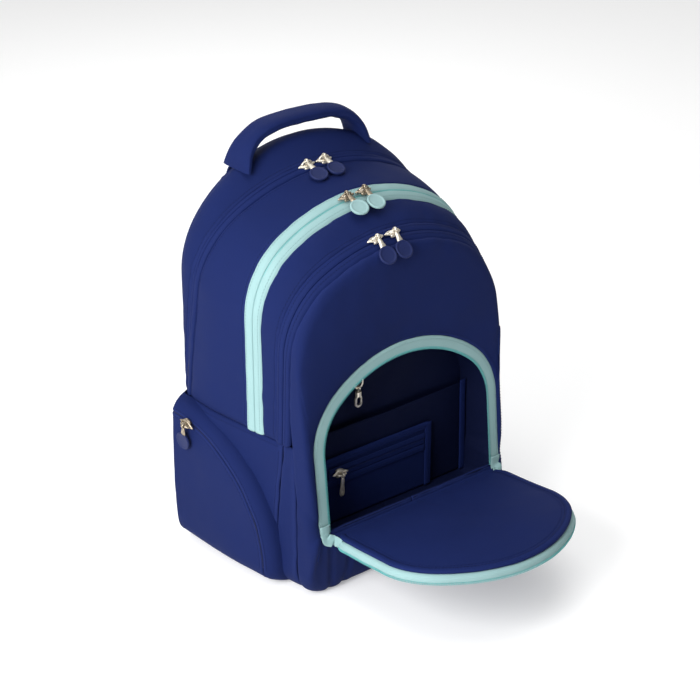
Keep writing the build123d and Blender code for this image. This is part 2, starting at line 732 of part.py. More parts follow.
for side, pieces in (
    ("left", (strap.part, webbing.part, ladder_lock.part)),
    ("right", tuple(mirror(piece.part, about=Plane.YZ) for piece in (strap, webbing, ladder_lock))),
):
    save(pieces[0], f"shoulder_strap_{side}")
    save(pieces[1], f"strap_webbing_{side}")
    save(pieces[2], f"ladder_lock_{side}")

with BuildPart() as strap_anchors:
    with BuildSketch(Plane.XZ.offset(-BACK_Y - GAP)):
        with Locations((-46, 411), (46, 411)):
            RectangleRounded(58, 20, 4)
        for sign in (-1, 1):
            with BuildLine():
                Polyline((sign * 112, 46), (sign * 141, 46), (sign * 141, 24), close=True)
            make_face()
    extrude(amount=-4)
save(strap_anchors.part, "strap_anchors")

# ---------------------------------------------------------------- key clip in the lower pocket
with BuildPart() as clip_loop:
    with BuildSketch(Plane.YZ.offset(CLIP_X - 3)):
        with Locations((CLIP_Y, CLIP_PIVOT_Z)):
            Circle(3.0)
        with Locations(((CLIP_Y + POCKET_BACK_Y - LINER) / 2, CLIP_PIVOT_Z + 3)):
            Rectangle(POCKET_BACK_Y - LINER - CLIP_Y, 12)
        with Locations((CLIP_Y, CLIP_PIVOT_Z)):
            Circle(1.9, mode=Mode.SUBTRACT)
    extrude(amount=6)
save(clip_loop.part, "clip_loop")


def ring_profile(reach):
    """D shape with a straight bar on top; reach is half its width."""
    foot = CLIP_PIVOT_Z - 5
    bar = CLIP_PIVOT_Z + reach - 5.1
    Polyline((CLIP_X - reach, foot), (CLIP_X - reach, bar), (CLIP_X + reach, bar), (CLIP_X + reach, foot))
    ThreePointArc((CLIP_X + reach, foot), (CLIP_X, foot - reach), (CLIP_X - reach, foot))


with BuildPart() as clip_ring:
    with BuildSketch(Plane.XZ.offset(-CLIP_Y)):
        with BuildLine():
            ring_profile(6.0)
        make_face()
        with BuildLine():
            ring_profile(4.2)
        make_face(mode=Mode.SUBTRACT)
    extrude(amount=0.9, both=True)
save(clip_ring.part, "clip_ring")

EYE_POST_FOOT = 195.4
with BuildPart() as clip_swivel:
    with BuildSketch(Plane.YZ.offset(CLIP_X)):
        with Locations((CLIP_Y, CLIP_EYE_Z)):
            Circle(3.2)
            Circle(1.8, mode=Mode.SUBTRACT)
    extrude(amount=0.9, both=True)
    with BuildSketch(Plane.XY.offset(EYE_POST_FOOT)):
        with Locations((CLIP_X, CLIP_Y)):
            Circle(1.2)
    extrude(amount=CLIP_EYE_Z - 2 - EYE_POST_FOOT)
    with BuildSketch(Plane.XY.offset(EYE_POST_FOOT)):
        with Locations((CLIP_X, CLIP_Y)):
            Circle(2.0)
    extrude(amount=1.0)
save(clip_swivel.part, "clip_swivel")

hook_mid_z = (HOOK_FOOT_Z + HOOK_TOP_Z) / 2
with BuildPart() as clip_hook:
    with BuildSketch(Plane.XY.offset(HOOK_TOP_Z - 1)):
        with Locations((CLIP_X, CLIP_Y)):
            Circle(3.4)
    extrude(amount=5.6)
    with BuildSketch(Plane.XY.offset(HOOK_TOP_Z)):
        with Locations((CLIP_X, CLIP_Y)):
            Circle(2.4)
    extrude(amount=1.8, mode=Mode.SUBTRACT)
    with BuildSketch(Plane.XY.offset(HOOK_TOP_Z)):
        with Locations((CLIP_X, CLIP_Y)):
            Circle(1.6)
    extrude(amount=8, mode=Mode.SUBTRACT)
    with BuildSketch(Plane.XZ.offset(-CLIP_Y)):
        with Locations((CLIP_X, hook_mid_z)):
            SlotOverall(HOOK_TOP_Z - HOOK_FOOT_Z, 9.4, rotation=90)
            SlotOverall(HOOK_TOP_Z - HOOK_FOOT_Z - 4.4, 5.4, rotation=90, mode=Mode.SUBTRACT)
        with Locations((CLIP_X + 4, hook_mid_z)):
            Rectangle(4, 7.0, mode=Mode.SUBTRACT)
    extrude(amount=1.1, both=True)
save(clip_hook.part, "clip_hook")

with BuildPart() as clip_gate:
    with BuildSketch(Plane.XZ.offset(-CLIP_Y)):
        with Locations((CLIP_X + 3.7, hook_mid_z)):
            SlotOverall(6.2, 1.6, rotation=90)
    extrude(amount=0.8, both=True)
save(clip_gate.part, "clip_gate")
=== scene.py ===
from collections import namedtuple
from math import asin, ceil, cos, pi, radians, sin, sqrt

import bmesh
import bpy
import numpy as np
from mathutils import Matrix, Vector, noise
from mathutils.bvhtree import BVHTree


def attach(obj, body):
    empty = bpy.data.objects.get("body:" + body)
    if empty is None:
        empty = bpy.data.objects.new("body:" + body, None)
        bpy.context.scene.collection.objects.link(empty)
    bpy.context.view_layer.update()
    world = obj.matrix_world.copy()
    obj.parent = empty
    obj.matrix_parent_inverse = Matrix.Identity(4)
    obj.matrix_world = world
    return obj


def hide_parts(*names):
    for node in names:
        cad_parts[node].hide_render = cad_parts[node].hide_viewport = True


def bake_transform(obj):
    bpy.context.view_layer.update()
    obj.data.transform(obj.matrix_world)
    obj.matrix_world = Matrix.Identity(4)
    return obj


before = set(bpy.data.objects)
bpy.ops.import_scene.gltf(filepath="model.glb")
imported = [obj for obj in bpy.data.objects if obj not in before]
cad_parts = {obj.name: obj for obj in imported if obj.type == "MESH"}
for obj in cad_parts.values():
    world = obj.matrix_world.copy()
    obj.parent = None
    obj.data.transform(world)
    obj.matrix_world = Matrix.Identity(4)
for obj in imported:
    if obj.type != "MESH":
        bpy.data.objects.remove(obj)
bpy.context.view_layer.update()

MM = 0.001

# ------------------------------------------------------------------ the bag's form, as in the CAD frame
Arch = namedtuple("Arch", "half_width spring apex corner")
ZipLine = namedtuple("ZipLine", "depth apex_z lean arch foot centre_x")

SEAM_Z = 176 * MM
FOOT_RADIUS = 26 * MM
STATIONS = MM * np.array([  # y, half width, spring, apex, corner, from the front to the back
    (-114, 131, 250, 352, 85),
    (-70, 136, 276, 376, 88),
    (-22, 143, 302, 407, 90),
    (45, 153, 310, 422, 95),
    (80, 154, 320, 450, 95),
    (100, 147, 318, 438, 95),
])
FRONT_PROFILE = MM * np.array([  # height, y of the front face
    (0, -95), (26, -101.5), (52, -108), (261, -86), (330, -84), (372, -84.5), (470, -84.5),
])
SIDES = (("left", -1), ("right", 1))
STRAP_SIDES = (("left", 1), ("right", -1))

REAR_ZIP = ZipLine(0.045, 0.422, -0.195, Arch(0.153, 0.316, 0.42995, 0.095), 0.1803, 0.0)
MIDDLE_ZIP = ZipLine(-0.022, 0.407, 0.0, Arch(0.143, 0.302, 0.407, 0.090), 0.177, 0.0)
FRONT_ZIP = ZipLine(-0.070, 0.376, -0.04, Arch(0.136, 0.276, 0.3763, 0.088), 0.177, 0.0)
POCKET_ZIP = ZipLine(-0.086, 0.261, 0.105, Arch(0.126, 0.166, 0.2624, 0.080), 0.0805, 0.004)


def crown_radius(arch):
    """Radius of the flatter top arc between the two shoulder arcs."""
    rise = arch.apex - arch.spring
    reach = arch.half_width - arch.corner
    return (reach**2 + rise**2 - arch.corner**2) / (2 * (rise - arch.corner))


def arch_point(arch, s, low, foot, foot_radius):
    """(x, height) on a closed arch outline. |s| is 0 at the crown, 1 and 2 at the ends of the shoulder arc,
    3 at height low, 4 and 5 at the ends of the foot corner and 6 at the middle of the foot."""
    half, spring, apex, corner = arch
    sign = np.where(s > 6, -1.0, np.sign(s))
    a = np.where(s > 6, 12 - s, np.abs(s))
    reach = half - corner
    crown = crown_radius(arch)
    centre = apex - crown
    join = np.arctan2(reach, spring - centre)
    turn_1 = join * np.clip(a, 0, 1)
    turn_2 = join + (pi / 2 - join) * np.clip(a - 1, 0, 1)
    turn_3 = pi / 2 * np.clip(a - 4, 0, 1)
    x = np.select(
        [a <= 1, a <= 2, a <= 4, a <= 5],
        [crown * np.sin(turn_1), reach + corner * np.sin(turn_2), half,
         half - foot_radius + foot_radius * np.cos(turn_3)],
        (half - foot_radius) * (6 - a),
    )
    z = np.select(
        [a <= 1, a <= 2, a <= 3, a <= 4, a <= 5],
        [centre + crown * np.cos(turn_1), spring + corner * np.cos(turn_2), spring + (low - spring) * (a - 2),
         low + (foot + foot_radius - low) * (a - 3), foot + foot_radius * (1 - np.sin(turn_3))],
        foot,
    )
    return sign * x, z


def section(y):
    """The bag's arch at a depth, with the ridges between the stations rounded."""
    soft = 7 * MM
    values = []
    for column in range(1, 5):
        near = [np.interp(y + k * soft, STATIONS[:, 0], STATIONS[:, column]) for k in (-1, 0, 1)]
        values.append(np.mean(near, axis=0))
    return Arch(*values)


def shell_point(s, y):
    """Point of the bag's outer form."""
    s, y = np.broadcast_arrays(np.asarray(s, float), np.asarray(y, float))
    x, z = arch_point(section(y), s, SEAM_Z, 0.0, FOOT_RADIUS)
    return np.stack([x, y, z], axis=-1)


def zip_depth(line, z):
    return line.depth + line.lean * (z - line.apex_z)


def zip_point(line, s, forward=0.0, outward=0.0, foot_radius=0.05 * MM):
    """Point on a zip line; forward is across the tape, outward is away from the bag in the line's plane."""
    s, forward, outward = np.broadcast_arrays(*(np.asarray(v, float) for v in (s, forward, outward)))
    arch = Arch(line.arch.half_width + outward, line.arch.spring, line.arch.apex + outward,
                line.arch.corner + outward)
    x, height = arch_point(arch, s, line.foot + 20 * MM, line.foot, foot_radius)
    x = x + line.centre_x
    length = sqrt(1 + line.lean**2)
    y = line.depth - line.lean * line.apex_z + line.lean * height / length - forward / length
    z = height / length + forward * line.lean / length
    return np.stack([x, y, z], axis=-1)


def on_plane(s, depth_at):
    """Depth at which the bag's form crosses a leaning plane."""
    y = depth_at(np.full(np.shape(s), 0.3))
    for _ in range(8):
        y = depth_at(shell_point(s, y)[..., 2])
    return y


def even_steps(points_at, start, end, spacing):
    """Parameter values whose points lie evenly along a line."""
    fine = np.linspace(start, end, 1200)
    step = np.linalg.norm(np.diff(points_at(fine), axis=0), axis=1)
    run = np.concatenate([[0], np.cumsum(step)])
    count = max(3, ceil(run[-1] / spacing) + 1)
    return np.interp(np.linspace(0, run[-1], count), run, fine)


def run_length(points):
    """Distance along a row of points."""
    return np.concatenate([[0], np.cumsum(np.linalg.norm(np.diff(points, axis=0), axis=1))])


def noise_at(points, size, seed):
    """Smooth noise from -1 to 1 whose lumps are about size across."""
    flat = np.asarray(points, float).reshape(-1, 3) / size + seed * 7.31
    values = [noise.noise(Vector(p)) for p in flat]
    return np.array(values).reshape(np.shape(points)[:-1])


def grid_normals(points, outward_from):
    """Unit normals of a grid of points, facing away from a point."""
    normal = np.cross(np.gradient(points, axis=0), np.gradient(points, axis=1))
    normal /= np.maximum(np.linalg.norm(normal, axis=-1, keepdims=True), 1e-12)
    facing = np.sum(normal * (points - np.asarray(outward_from)), axis=-1)
    return normal * (1.0 if facing.mean() > 0 else -1.0)


# ------------------------------------------------------------------ materials
NAVY = (0.0048, 0.0122, 0.074)
AQUA = (0.25, 0.40, 0.405)


def shader_tree(name):
    made = bpy.data.materials.new(name)
    made.use_nodes = True
    tree = made.node_tree
    shader = next(n for n in tree.nodes if n.type == "BSDF_PRINCIPLED")
    return made, tree, shader


def math_node(tree, operation, first, second=None, clamp=False):
    node = tree.nodes.new("ShaderNodeMath")
    node.operation = operation
    node.use_clamp = clamp
    for slot, value in zip(node.inputs, (first, second)):
        if value is None:
            continue
        if isinstance(value, (int, float)):
            slot.default_value = value
        else:
            tree.links.new(value, slot)
    return node.outputs[0]


def attribute_node(tree, name, output):
    node = tree.nodes.new("ShaderNodeAttribute")
    node.attribute_name = name
    return node.outputs[output]


def mix_colours(tree, factor, low, high):
    node = tree.nodes.new("ShaderNodeMix")
    node.data_type = "RGBA"
    tree.links.new(factor, node.inputs[0])
    for slot, value in ((node.inputs[6], low), (node.inputs[7], high)):
        if hasattr(value, "links"):
            tree.links.new(value, slot)
        else:
            slot.default_value = (*value, 1)
    return node.outputs[2]


def tinted(colour, gain, grey=0.0):
    """A colour made lighter or darker, and pulled towards its own grey."""
    mean = sum(colour) / 3
    return tuple(max(0.0, (c * (1 - grey) + mean * grey) * gain) for c in colour)


def noise_node(tree, place, scale, detail=2):
    node = tree.nodes.new("ShaderNodeTexNoise")
    node.inputs["Scale"].default_value = scale
    node.inputs["Detail"].default_value = detail
    tree.links.new(place, node.inputs["Vector"])
    return node.outputs["Fac"]


def scaled(tree, value, gain, base):
    made = math_node(tree, "MULTIPLY_ADD", value, gain)
    made.node.inputs[2].default_value = base
    return made


def object_place(tree):
    return tree.nodes.new("ShaderNodeTexCoord").outputs["Object"]


def link_surface(tree, shader, colour, cloud, spread, roughness, height, strength, distance):
    """Links a shader's colour, its uneven roughness and its bump."""
    tree.links.new(colour, shader.inputs["Base Color"])
    tree.links.new(scaled(tree, cloud, spread, roughness - spread / 2), shader.inputs["Roughness"])
    bump = tree.nodes.new("ShaderNodeBump")
    bump.inputs["Strength"].default_value = strength
    bump.inputs["Distance"].default_value = distance
    tree.links.new(height, bump.inputs["Height"])
    tree.links.new(bump.outputs[0], shader.inputs["Normal"])


def fabric(name, colour, pitch=0.9 * MM, sheen=0.1, roughness=0.8, depth=0.12 * MM, rib=0.0, contrast=0.12):
    """Woven cloth: crossed yarns, slow changes of tone, painted shade in the seam gaps and paler, speckled
    bands beside the seams.
    """
    made, tree, shader = shader_tree(name)
    split = tree.nodes.new("ShaderNodeSeparateXYZ")
    tree.links.new(attribute_node(tree, "weave", "Vector"), split.inputs[0])

    def yarns(axis, length):
        return math_node(tree, "SINE", math_node(tree, "MULTIPLY", split.outputs[axis], 2 * pi / length))

    crossing = math_node(tree, "MULTIPLY", yarns(0, pitch), yarns(1, pitch))
    if rib:
        crossing = math_node(tree, "ADD", math_node(tree, "MULTIPLY", crossing, 0.4), yarns(1, rib))
    place = object_place(tree)
    slow = noise_node(tree, place, 38, 4)
    slub = noise_node(tree, place, 900)
    yarn = scaled(tree, crossing, 0.5, 0.5)
    shade = mix_colours(tree, yarn, tinted(colour, 1 - contrast), tinted(colour, 1 + contrast))
    patch = mix_colours(tree, slow, tinted(colour, 0.86), tinted(colour, 1.14, 0.04))
    blend = tree.nodes.new("ShaderNodeMix")
    blend.data_type = "RGBA"
    blend.inputs[0].default_value = 0.5
    tree.links.new(shade, blend.inputs[6])
    tree.links.new(patch, blend.inputs[7])
    # Paler, speckled band where the edge attribute is high, beside the seams.
    pale_edge_mask = math_node(tree, "MULTIPLY", attribute_node(tree, "edge", "Fac"), slub, clamp=True)
    pale_edged = mix_colours(tree, pale_edge_mask, blend.outputs[2], tinted(colour, 1.55, 0.12))
    # Painted shade: where the seam attribute is high, the seam gaps darken to 0.3 of the colour.
    final = mix_colours(tree, attribute_node(tree, "seam", "Fac"), pale_edged, tinted(colour, 0.3))
    height = math_node(tree, "ADD", crossing, math_node(tree, "MULTIPLY", slub, 1.4))
    link_surface(tree, shader, final, slow, 0.16, roughness, height, 0.55, depth)
    shader.inputs["Sheen Weight"].default_value = sheen
    shader.inputs["Sheen Roughness"].default_value = 0.45
    shader.inputs["Sheen Tint"].default_value = (*tinted(colour, 2.2, 0.1), 1)
    shader.inputs["Specular IOR Level"].default_value = 0.12
    return made


def metal(name, colour, dark, roughness, patina, metallic):
    """Plated zinc: fine scratches, tarnish in the slow noise."""
    made, tree, shader = shader_tree(name)
    place = object_place(tree)
    cloud = noise_node(tree, place, 420, 5)
    scratch = noise_node(tree, place, 2600, 3)
    ramp = tree.nodes.new("ShaderNodeMapRange")
    for key, value in (("From Min", 0.42), ("From Max", 0.75), ("To Max", patina)):
        ramp.inputs[key].default_value = value
    tree.links.new(cloud, ramp.inputs["Value"])
    shade = mix_colours(tree, ramp.outputs[0], colour, dark)
    link_surface(tree, shader, shade, scratch, 0.22, roughness, scratch, 0.08, 0.02 * MM)
    shader.inputs["Metallic"].default_value = metallic
    return made


def moulded(name, colour, roughness, grain):
    """Moulded plastic or rubber with a fine grain and slightly uneven gloss."""
    made, tree, shader = shader_tree(name)
    place = object_place(tree)
    speck = noise_node(tree, place, grain, 4)
    cloud = noise_node(tree, place, 120)
    shade = mix_colours(tree, cloud, tinted(colour, 0.86), tinted(colour, 1.14, 0.05))
    link_surface(tree, shader, shade, cloud, 0.18, roughness, speck, 0.3, 0.08 * MM)
    shader.inputs["Specular IOR Level"].default_value = 0.3
    return made


MATERIALS = {
    "navy_fabric": fabric("navy fabric", NAVY),
    "navy_lining": fabric("navy lining", tinted(NAVY, 0.4), pitch=0.6 * MM, sheen=0.04, roughness=0.72),
    "navy_tape": fabric("navy tape", tinted(NAVY, 1.05), pitch=0.8 * MM, rib=1.6 * MM, roughness=0.75),
    "aqua_tape": fabric("aqua tape", AQUA, pitch=0.8 * MM, rib=1.6 * MM, sheen=0.05, contrast=0.05,
                        roughness=0.7),
    "navy_binding": fabric("navy binding", tinted(NAVY, 1.1), pitch=0.8 * MM, rib=1.3 * MM),
    "mesh_fabric": fabric("spacer mesh", tinted(NAVY, 0.5), pitch=3.2 * MM, depth=0.6 * MM, contrast=0.55),
    "foam": fabric("foam", (0.75, 0.75, 0.72), pitch=2 * MM, sheen=0.0),
    "webbing": fabric("webbing", tinted(NAVY, 0.55), pitch=1.2 * MM, rib=2.1 * MM, depth=0.35 * MM),
    "navy_thread": fabric("navy thread", tinted(NAVY, 0.75), pitch=0.5 * MM, sheen=0.1),
    "aqua_thread": fabric("aqua thread", tinted(AQUA, 0.86), pitch=0.5 * MM, sheen=0.1),
    "navy_coil": moulded("navy coil", tinted(NAVY, 0.8), 0.42, 900),
    # The aqua coil is its own teal darkened with painted shade, matched to the tape's shaded edges.
    "aqua_coil": moulded("aqua coil", (0.09, 0.36, 0.36), 0.4, 900),
    "navy_rubber": moulded("navy rubber", tinted(NAVY, 1.0), 0.62, 1500),
    "aqua_rubber": moulded("aqua rubber", tinted(AQUA, 0.98), 0.5, 1500),
    "black_plastic": moulded("black plastic", (0.012, 0.013, 0.02), 0.38, 1800),
    "board_plastic": moulded("board plastic", (0.05, 0.05, 0.06), 0.6, 600),
    "silver_metal": metal("silver metal", (0.86, 0.80, 0.68), (0.42, 0.35, 0.25), 0.31, 0.4, 0.7),
    "antique_metal": metal("antique metal", (0.42, 0.35, 0.26), (0.12, 0.10, 0.07), 0.34, 0.8, 0.85),
}


# ------------------------------------------------------------------ making pieces
def new_object(name, vertices, faces, weave=None, edge=None, seam=None):
    mesh = bpy.data.meshes.new(name)
    mesh.from_pydata(np.asarray(vertices, float).reshape(-1, 3).tolist(), [], faces)
    mesh.polygons.foreach_set("use_smooth", np.ones(len(mesh.polygons), bool))
    if weave is not None:
        flat = np.zeros((len(mesh.vertices), 3), np.float32)
        flat[:, :2] = np.asarray(weave, float).reshape(-1, 2)
        mesh.attributes.new("weave", "FLOAT_VECTOR", "POINT").data.foreach_set("vector", flat.ravel())
    for key, values in (("edge", edge), ("seam", seam)):
        if values is not None:
            data = np.asarray(values, np.float32).ravel()
            mesh.attributes.new(key, "FLOAT", "POINT").data.foreach_set("value", data)
    made = bpy.data.objects.new(name, mesh)
    bpy.context.scene.collection.objects.link(made)
    return made


def grid_faces(rows, columns, close_rows=False, close_columns=False, start=0):
    faces = []
    for i in range(rows if close_rows else rows - 1):
        for j in range(columns if close_columns else columns - 1):
            a, b = i, (i + 1) % rows
            c, d = j, (j + 1) % columns
            faces.append(tuple(start + k for k in (a * columns + c, b * columns + c, b * columns + d,
                                                   a * columns + d)))
    return faces


def grid_weave(points):
    """Cloth coordinates of a grid, in metres along and across."""
    along = run_length(points[:, points.shape[1] // 2])
    across = run_length(points[points.shape[0] // 2])
    return np.stack(np.meshgrid(along, across, indexing="ij"), axis=-1)


def grid_object(name, points, edge=None, seam=None, close_rows=False, close_columns=False):
    faces = grid_faces(*points.shape[:2], close_rows, close_columns)
    return new_object(name, points, faces, grid_weave(points), edge, seam)


def face_outward(made, centre):
    """Turns the mesh's faces away from a point."""
    mesh = made.data
    total = sum((p.center - Vector(centre)).dot(p.normal) * p.area for p in mesh.polygons)
    if total < 0:
        mesh.flip_normals()
    return made


def thicken(made, thickness, levels=1, offset=-1.0):
    if levels:
        smooth = made.modifiers.new("smooth", "SUBSURF")
        smooth.levels = smooth.render_levels = levels
    if thickness:
        solid = made.modifiers.new("thickness", "SOLIDIFY")
        solid.thickness = thickness
        solid.offset = offset
    return made


def dress(made, body, material, nodes=()):
    """Gives a piece its material, its body and the CAD nodes that it stands for."""
    made.data.materials.clear()
    made.data.materials.append(MATERIALS[material])
    if body:
        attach(made, body)
    if nodes:
        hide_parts(*nodes)
    return made


def weld(made, recalculate=False):
    """Welds rows of points that are almost one point, such as the middle row of a round grid."""
    mesh = bmesh.new()
    mesh.from_mesh(made.data)
    bmesh.ops.remove_doubles(mesh, verts=mesh.verts, dist=0.004 * MM)
    if recalculate:
        bmesh.ops.recalc_face_normals(mesh, faces=mesh.faces)
    mesh.to_mesh(made.data)
    mesh.free()
    return made


def cloth(name, points, away_from, thickness, body, material, nodes=(), levels=1, offset=-1.0, edge=None,
          seam=None, welded=False, **closed):
    """One sewn piece from a grid of points, its faces turned away from a point."""
    made = face_outward(grid_object(name, points, edge, seam, **closed), away_from)
    if welded:
        weld(made)
    return dress(thicken(made, thickness, levels, offset), body, material, nodes=nodes)


def joined_grids(name, grids, close_columns=False):
    """Several grids of points in one object."""
    vertices, faces, weave = [], [], []
    start = 0
    for points in grids:
        vertices.append(points.reshape(-1, 3))
        weave.append(grid_weave(points).reshape(-1, 2))
        faces += grid_faces(*points.shape[:2], False, close_columns, start)
        start += points.shape[0] * points.shape[1]
    return new_object(name, np.concatenate(vertices), faces, np.concatenate(weave))


def frames_along(points, up):
    """Unit tangent, side and up vectors at each point of a line; up is a vector or one per point."""
    tangent = np.gradient(points, axis=0)
    tangent /= np.linalg.norm(tangent, axis=1, keepdims=True)
    up = np.broadcast_to(np.asarray(up, float), points.shape)
    side = np.cross(tangent, up)
    side /= np.linalg.norm(side, axis=1, keepdims=True)
    return tangent, side, np.cross(side, tangent)


def ribbon(points, up, profile):
    """Grid of a profile of (across, above) pairs carried along a line."""
    _, side, above = frames_along(points, up)
    profile = np.asarray(profile, float)
    if profile.ndim == 2:
        profile = np.broadcast_to(profile, (len(points), *profile.shape))
    return points[:, None] + profile[..., :1] * side[:, None] + profile[..., 1:] * above[:, None]


def round_profile(radius_across, radius_above, count=10, lift=0.0):
    turns = np.linspace(0, 2 * pi, count, endpoint=False)
    return np.stack([radius_across * np.cos(turns), radius_above * np.sin(turns) + lift], axis=-1)


def bars_along(points, up, pitch, margin, stations, widths, radius, axis, lifts=0.0):
    """Small round bars along a line: axis 1 lays them along it and axis 2 across it."""
    run = run_length(points)
    vectors = (points, *frames_along(points, up))
    turns = np.linspace(0, 2 * pi, 6, endpoint=False)
    lifts = np.broadcast_to(lifts, stations.shape)
    grids = []
    for place in np.arange(pitch / 2, run[-1] - margin, pitch):
        at = [np.array([np.interp(place, run, v[:, k]) for k in range(3)]) for v in vectors]
        ring_points = (widths[:, None, None] * radius
                       * (np.cos(turns)[None, :, None] * at[3 - axis] + np.sin(turns)[None, :, None] * at[3]))
        spine = at[0] + stations[:, None] * at[axis] + lifts[:, None] * at[3]
        grids.append(ring_points + spine[:, None])
    return grids


def stitches(name, lines, body, material, pitch=3.6 * MM, length=2.5 * MM, radius=0.36 * MM):
    """Rows of sewn thread: each stitch is a small rounded bar that dips at both ends."""
    stations = length * np.array([-0.5, -0.38, 0.0, 0.38, 0.5])
    widths = np.array([0.35, 0.9, 1.0, 0.9, 0.35])
    sinks = radius * np.array([-1.3, -0.3, 0.25, -0.3, -1.3])
    grids = []
    for points, up in lines:
        grids += bars_along(points, up, pitch, pitch / 2, stations, widths, radius, 1, sinks)
    return dress(joined_grids(name, grids, close_columns=True), body, material)


def coil(name, points, up, body, material, pitch=1.7 * MM, reach=2.2 * MM, radius=0.5 * MM):
    """Zip coil: one small looped bar per tooth, across the line."""
    stations = reach * np.array([-1.0, -0.82, -0.3, 0.3, 0.82, 1.0])
    widths = np.array([0.45, 1.0, 0.9, 0.9, 1.0, 0.45])
    grids = bars_along(points, up, pitch, 0.0, stations, widths, radius, 2)
    return dress(joined_grids(name, grids, close_columns=True), body, material)


# ------------------------------------------------------------------ shell panels
BAG_CENTRE = (0.0, 0.0, 0.22)


PANEL_SPACING = 5 * MM
RUFFLE_HEIGHT = 1.3 * MM
SEAM_WANDER = 0.7 * MM
HEM_DEPTH = 2.6 * MM
CALM_CENTRE_X = -11 * MM
CALM_REACH = 88 * MM


def panel_points(s, start_y, end_y, bulge, seed, points=None, end_seams=True, calm=False):
    """Grid of a sewn panel: it swells between its seams, ruffles beside them and turns under at its edges."""
    if points is None:
        width = np.abs(end_y - start_y).max()
        rows = max(4, ceil(width / PANEL_SPACING))
        near = 3 * MM / max(width, 1e-6)
        t = np.concatenate([
            [0, near / 2, near], np.linspace(2 * near, 1 - 2 * near, rows), [1 - near, 1 - near / 2, 1]
        ])
        edges = [y + SEAM_WANDER * noise_at(shell_point(s, y), 16 * MM, seed + more)
                 for y, more in ((start_y, 5), (end_y, 9))]
        y = edges[0][:, None] * (1 - t) + edges[1][:, None] * t
        points = shell_point(s[:, None], y)
    normal = grid_normals(points, BAG_CENTRE)
    across = np.stack([run_length(row) for row in points])
    from_start, to_end = across, across[:, -1:] - across
    nearest = np.minimum(from_start, to_end)
    share = from_start / np.maximum(across[:, -1:], 1e-9)
    swell = bulge * np.sin(pi * share) ** 0.7
    slow = 1.6 * MM * noise_at(points, 75 * MM, seed) * np.clip(nearest / (15 * MM), 0, 1)
    folds = 0.85 * MM * noise_at(points * (1, 0.45, 1), 24 * MM, seed + 1) * np.clip(nearest / (8 * MM), 0, 1)
    ruffle = RUFFLE_HEIGHT * np.exp(-nearest / (9 * MM)) * noise_at(points * (1, 0.15, 1), 11 * MM, seed + 2)
    pinch = -1.5 * MM * np.exp(-(nearest / (2.2 * MM)) ** 2)
    if end_seams:
        along = run_length(points[:, points.shape[1] // 2])
        to_end = np.minimum(along, along[-1] - along)[:, None]
        swell = swell * np.clip(to_end / (12 * MM), 0, 1) ** 0.5
        slow = slow * np.clip(to_end / (15 * MM), 0, 1)
        folds = folds * np.clip(to_end / (8 * MM), 0, 1)
        pinch = np.minimum(pinch, -1.6 * MM * np.exp(-(to_end / (2.4 * MM)) ** 2))
    lift = swell + slow + folds + ruffle
    if calm:
        # The cloth lies flat on the crown, where the discs of the pulls sweep over it.
        crown_share = np.exp(-((points[..., 0] - CALM_CENTRE_X) / CALM_REACH) ** 6) * (points[..., 2] > 0.3)
        lift = lift * (1 - 0.95 * crown_share) - 0.2 * MM * crown_share
    points = points + normal * (lift + pinch)[..., None]
    first = points[:, :1] - normal[:, :1] * HEM_DEPTH
    last = points[:, -1:] - normal[:, -1:] * HEM_DEPTH
    points = np.concatenate([first, points, last], axis=1)
    nearest = np.concatenate([nearest[:, :1], nearest, nearest[:, -1:]], axis=1)
    # edge is a paler band about 1.5 mm from each seam. seam is painted shade on the hem rows that turn under
    # into the seam gap.
    edge = np.exp(-((nearest - 1.5 * MM) / (2.5 * MM)) ** 2)
    seam = np.zeros_like(edge)
    seam[:, 0] = seam[:, -1] = 1.0
    return points, edge, seam


def shell_panel(name, s, start_y, end_y, nodes, **options):
    points, edge, seam = panel_points(s, start_y, end_y, **options)
    return cloth(name, points, BAG_CENTRE, SHELL_CLOTH, "root", "navy_fabric", nodes, edge=edge, seam=seam)


SHELL_CLOTH = 1.6 * MM
BACK_Y = 99 * MM
SIDE_SEAM_Y = -62 * MM
FRONT_SEAM_Y = -80 * MM
REAR_BAND = (-4.5 * MM, 5.5 * MM)
MIDDLE_BAND = (-10.8 * MM, 10.8 * MM)
FRONT_BAND = (-8.2 * MM, 8.2 * MM)
SHELL_STEP = 4.5 * MM

upper = even_steps(lambda s: shell_point(s, 0.0), -3, 3, SHELL_STEP)
lower = even_steps(lambda s: shell_point(s, 0.0), 3, 9, SHELL_STEP)


def beside(line, offset):
    """Depth of the shell beside a zip line, as a function of height."""
    return lambda z: zip_depth(line, z) - offset


def seam_a(z):
    """Depth of the side seam, which leans back towards the foot."""
    share = np.clip((0.186 - z) / 0.12, 0, 1)
    return SIDE_SEAM_Y + 11 * MM * share**2 * (3 - 2 * share)


shell_panel(
    "rear_gusset_cloth", upper, np.full(len(upper), BACK_Y), on_plane(upper, beside(REAR_ZIP, REAR_BAND[0])),
    ["rear_gusset"], bulge=2.5 * MM, seed=1, calm=True,
)
shell_panel(
    "middle_gusset_cloth", upper, on_plane(upper, beside(REAR_ZIP, REAR_BAND[1])),
    on_plane(upper, beside(MIDDLE_ZIP, MIDDLE_BAND[0])), ["middle_gusset"], bulge=3 * MM, seed=2, calm=True,
)
shell_panel(
    "front_gusset_cloth", upper, on_plane(upper, beside(MIDDLE_ZIP, MIDDLE_BAND[1])),
    on_plane(upper, beside(FRONT_ZIP, FRONT_BAND[0])), ["front_gusset"], bulge=2 * MM, seed=3,
)
shell_panel(
    "side_seam_strip", lower, on_plane(lower, lambda z: seam_a(z) - 0.6 * MM),
    np.full(len(lower), FRONT_SEAM_Y + 0.6 * MM), [], bulge=1.2 * MM, seed=4,
)
shell_panel(
    "lower_body_cloth", lower, np.full(len(lower), BACK_Y), on_plane(lower, lambda z: seam_a(z) + 0.6 * MM),
    ["lower_body"], bulge=2 * MM, seed=5,
)


# ------------------------------------------------------------------ front panel round the lower pocket
POCKET_TAPE_WIDTH = 13.5 * MM


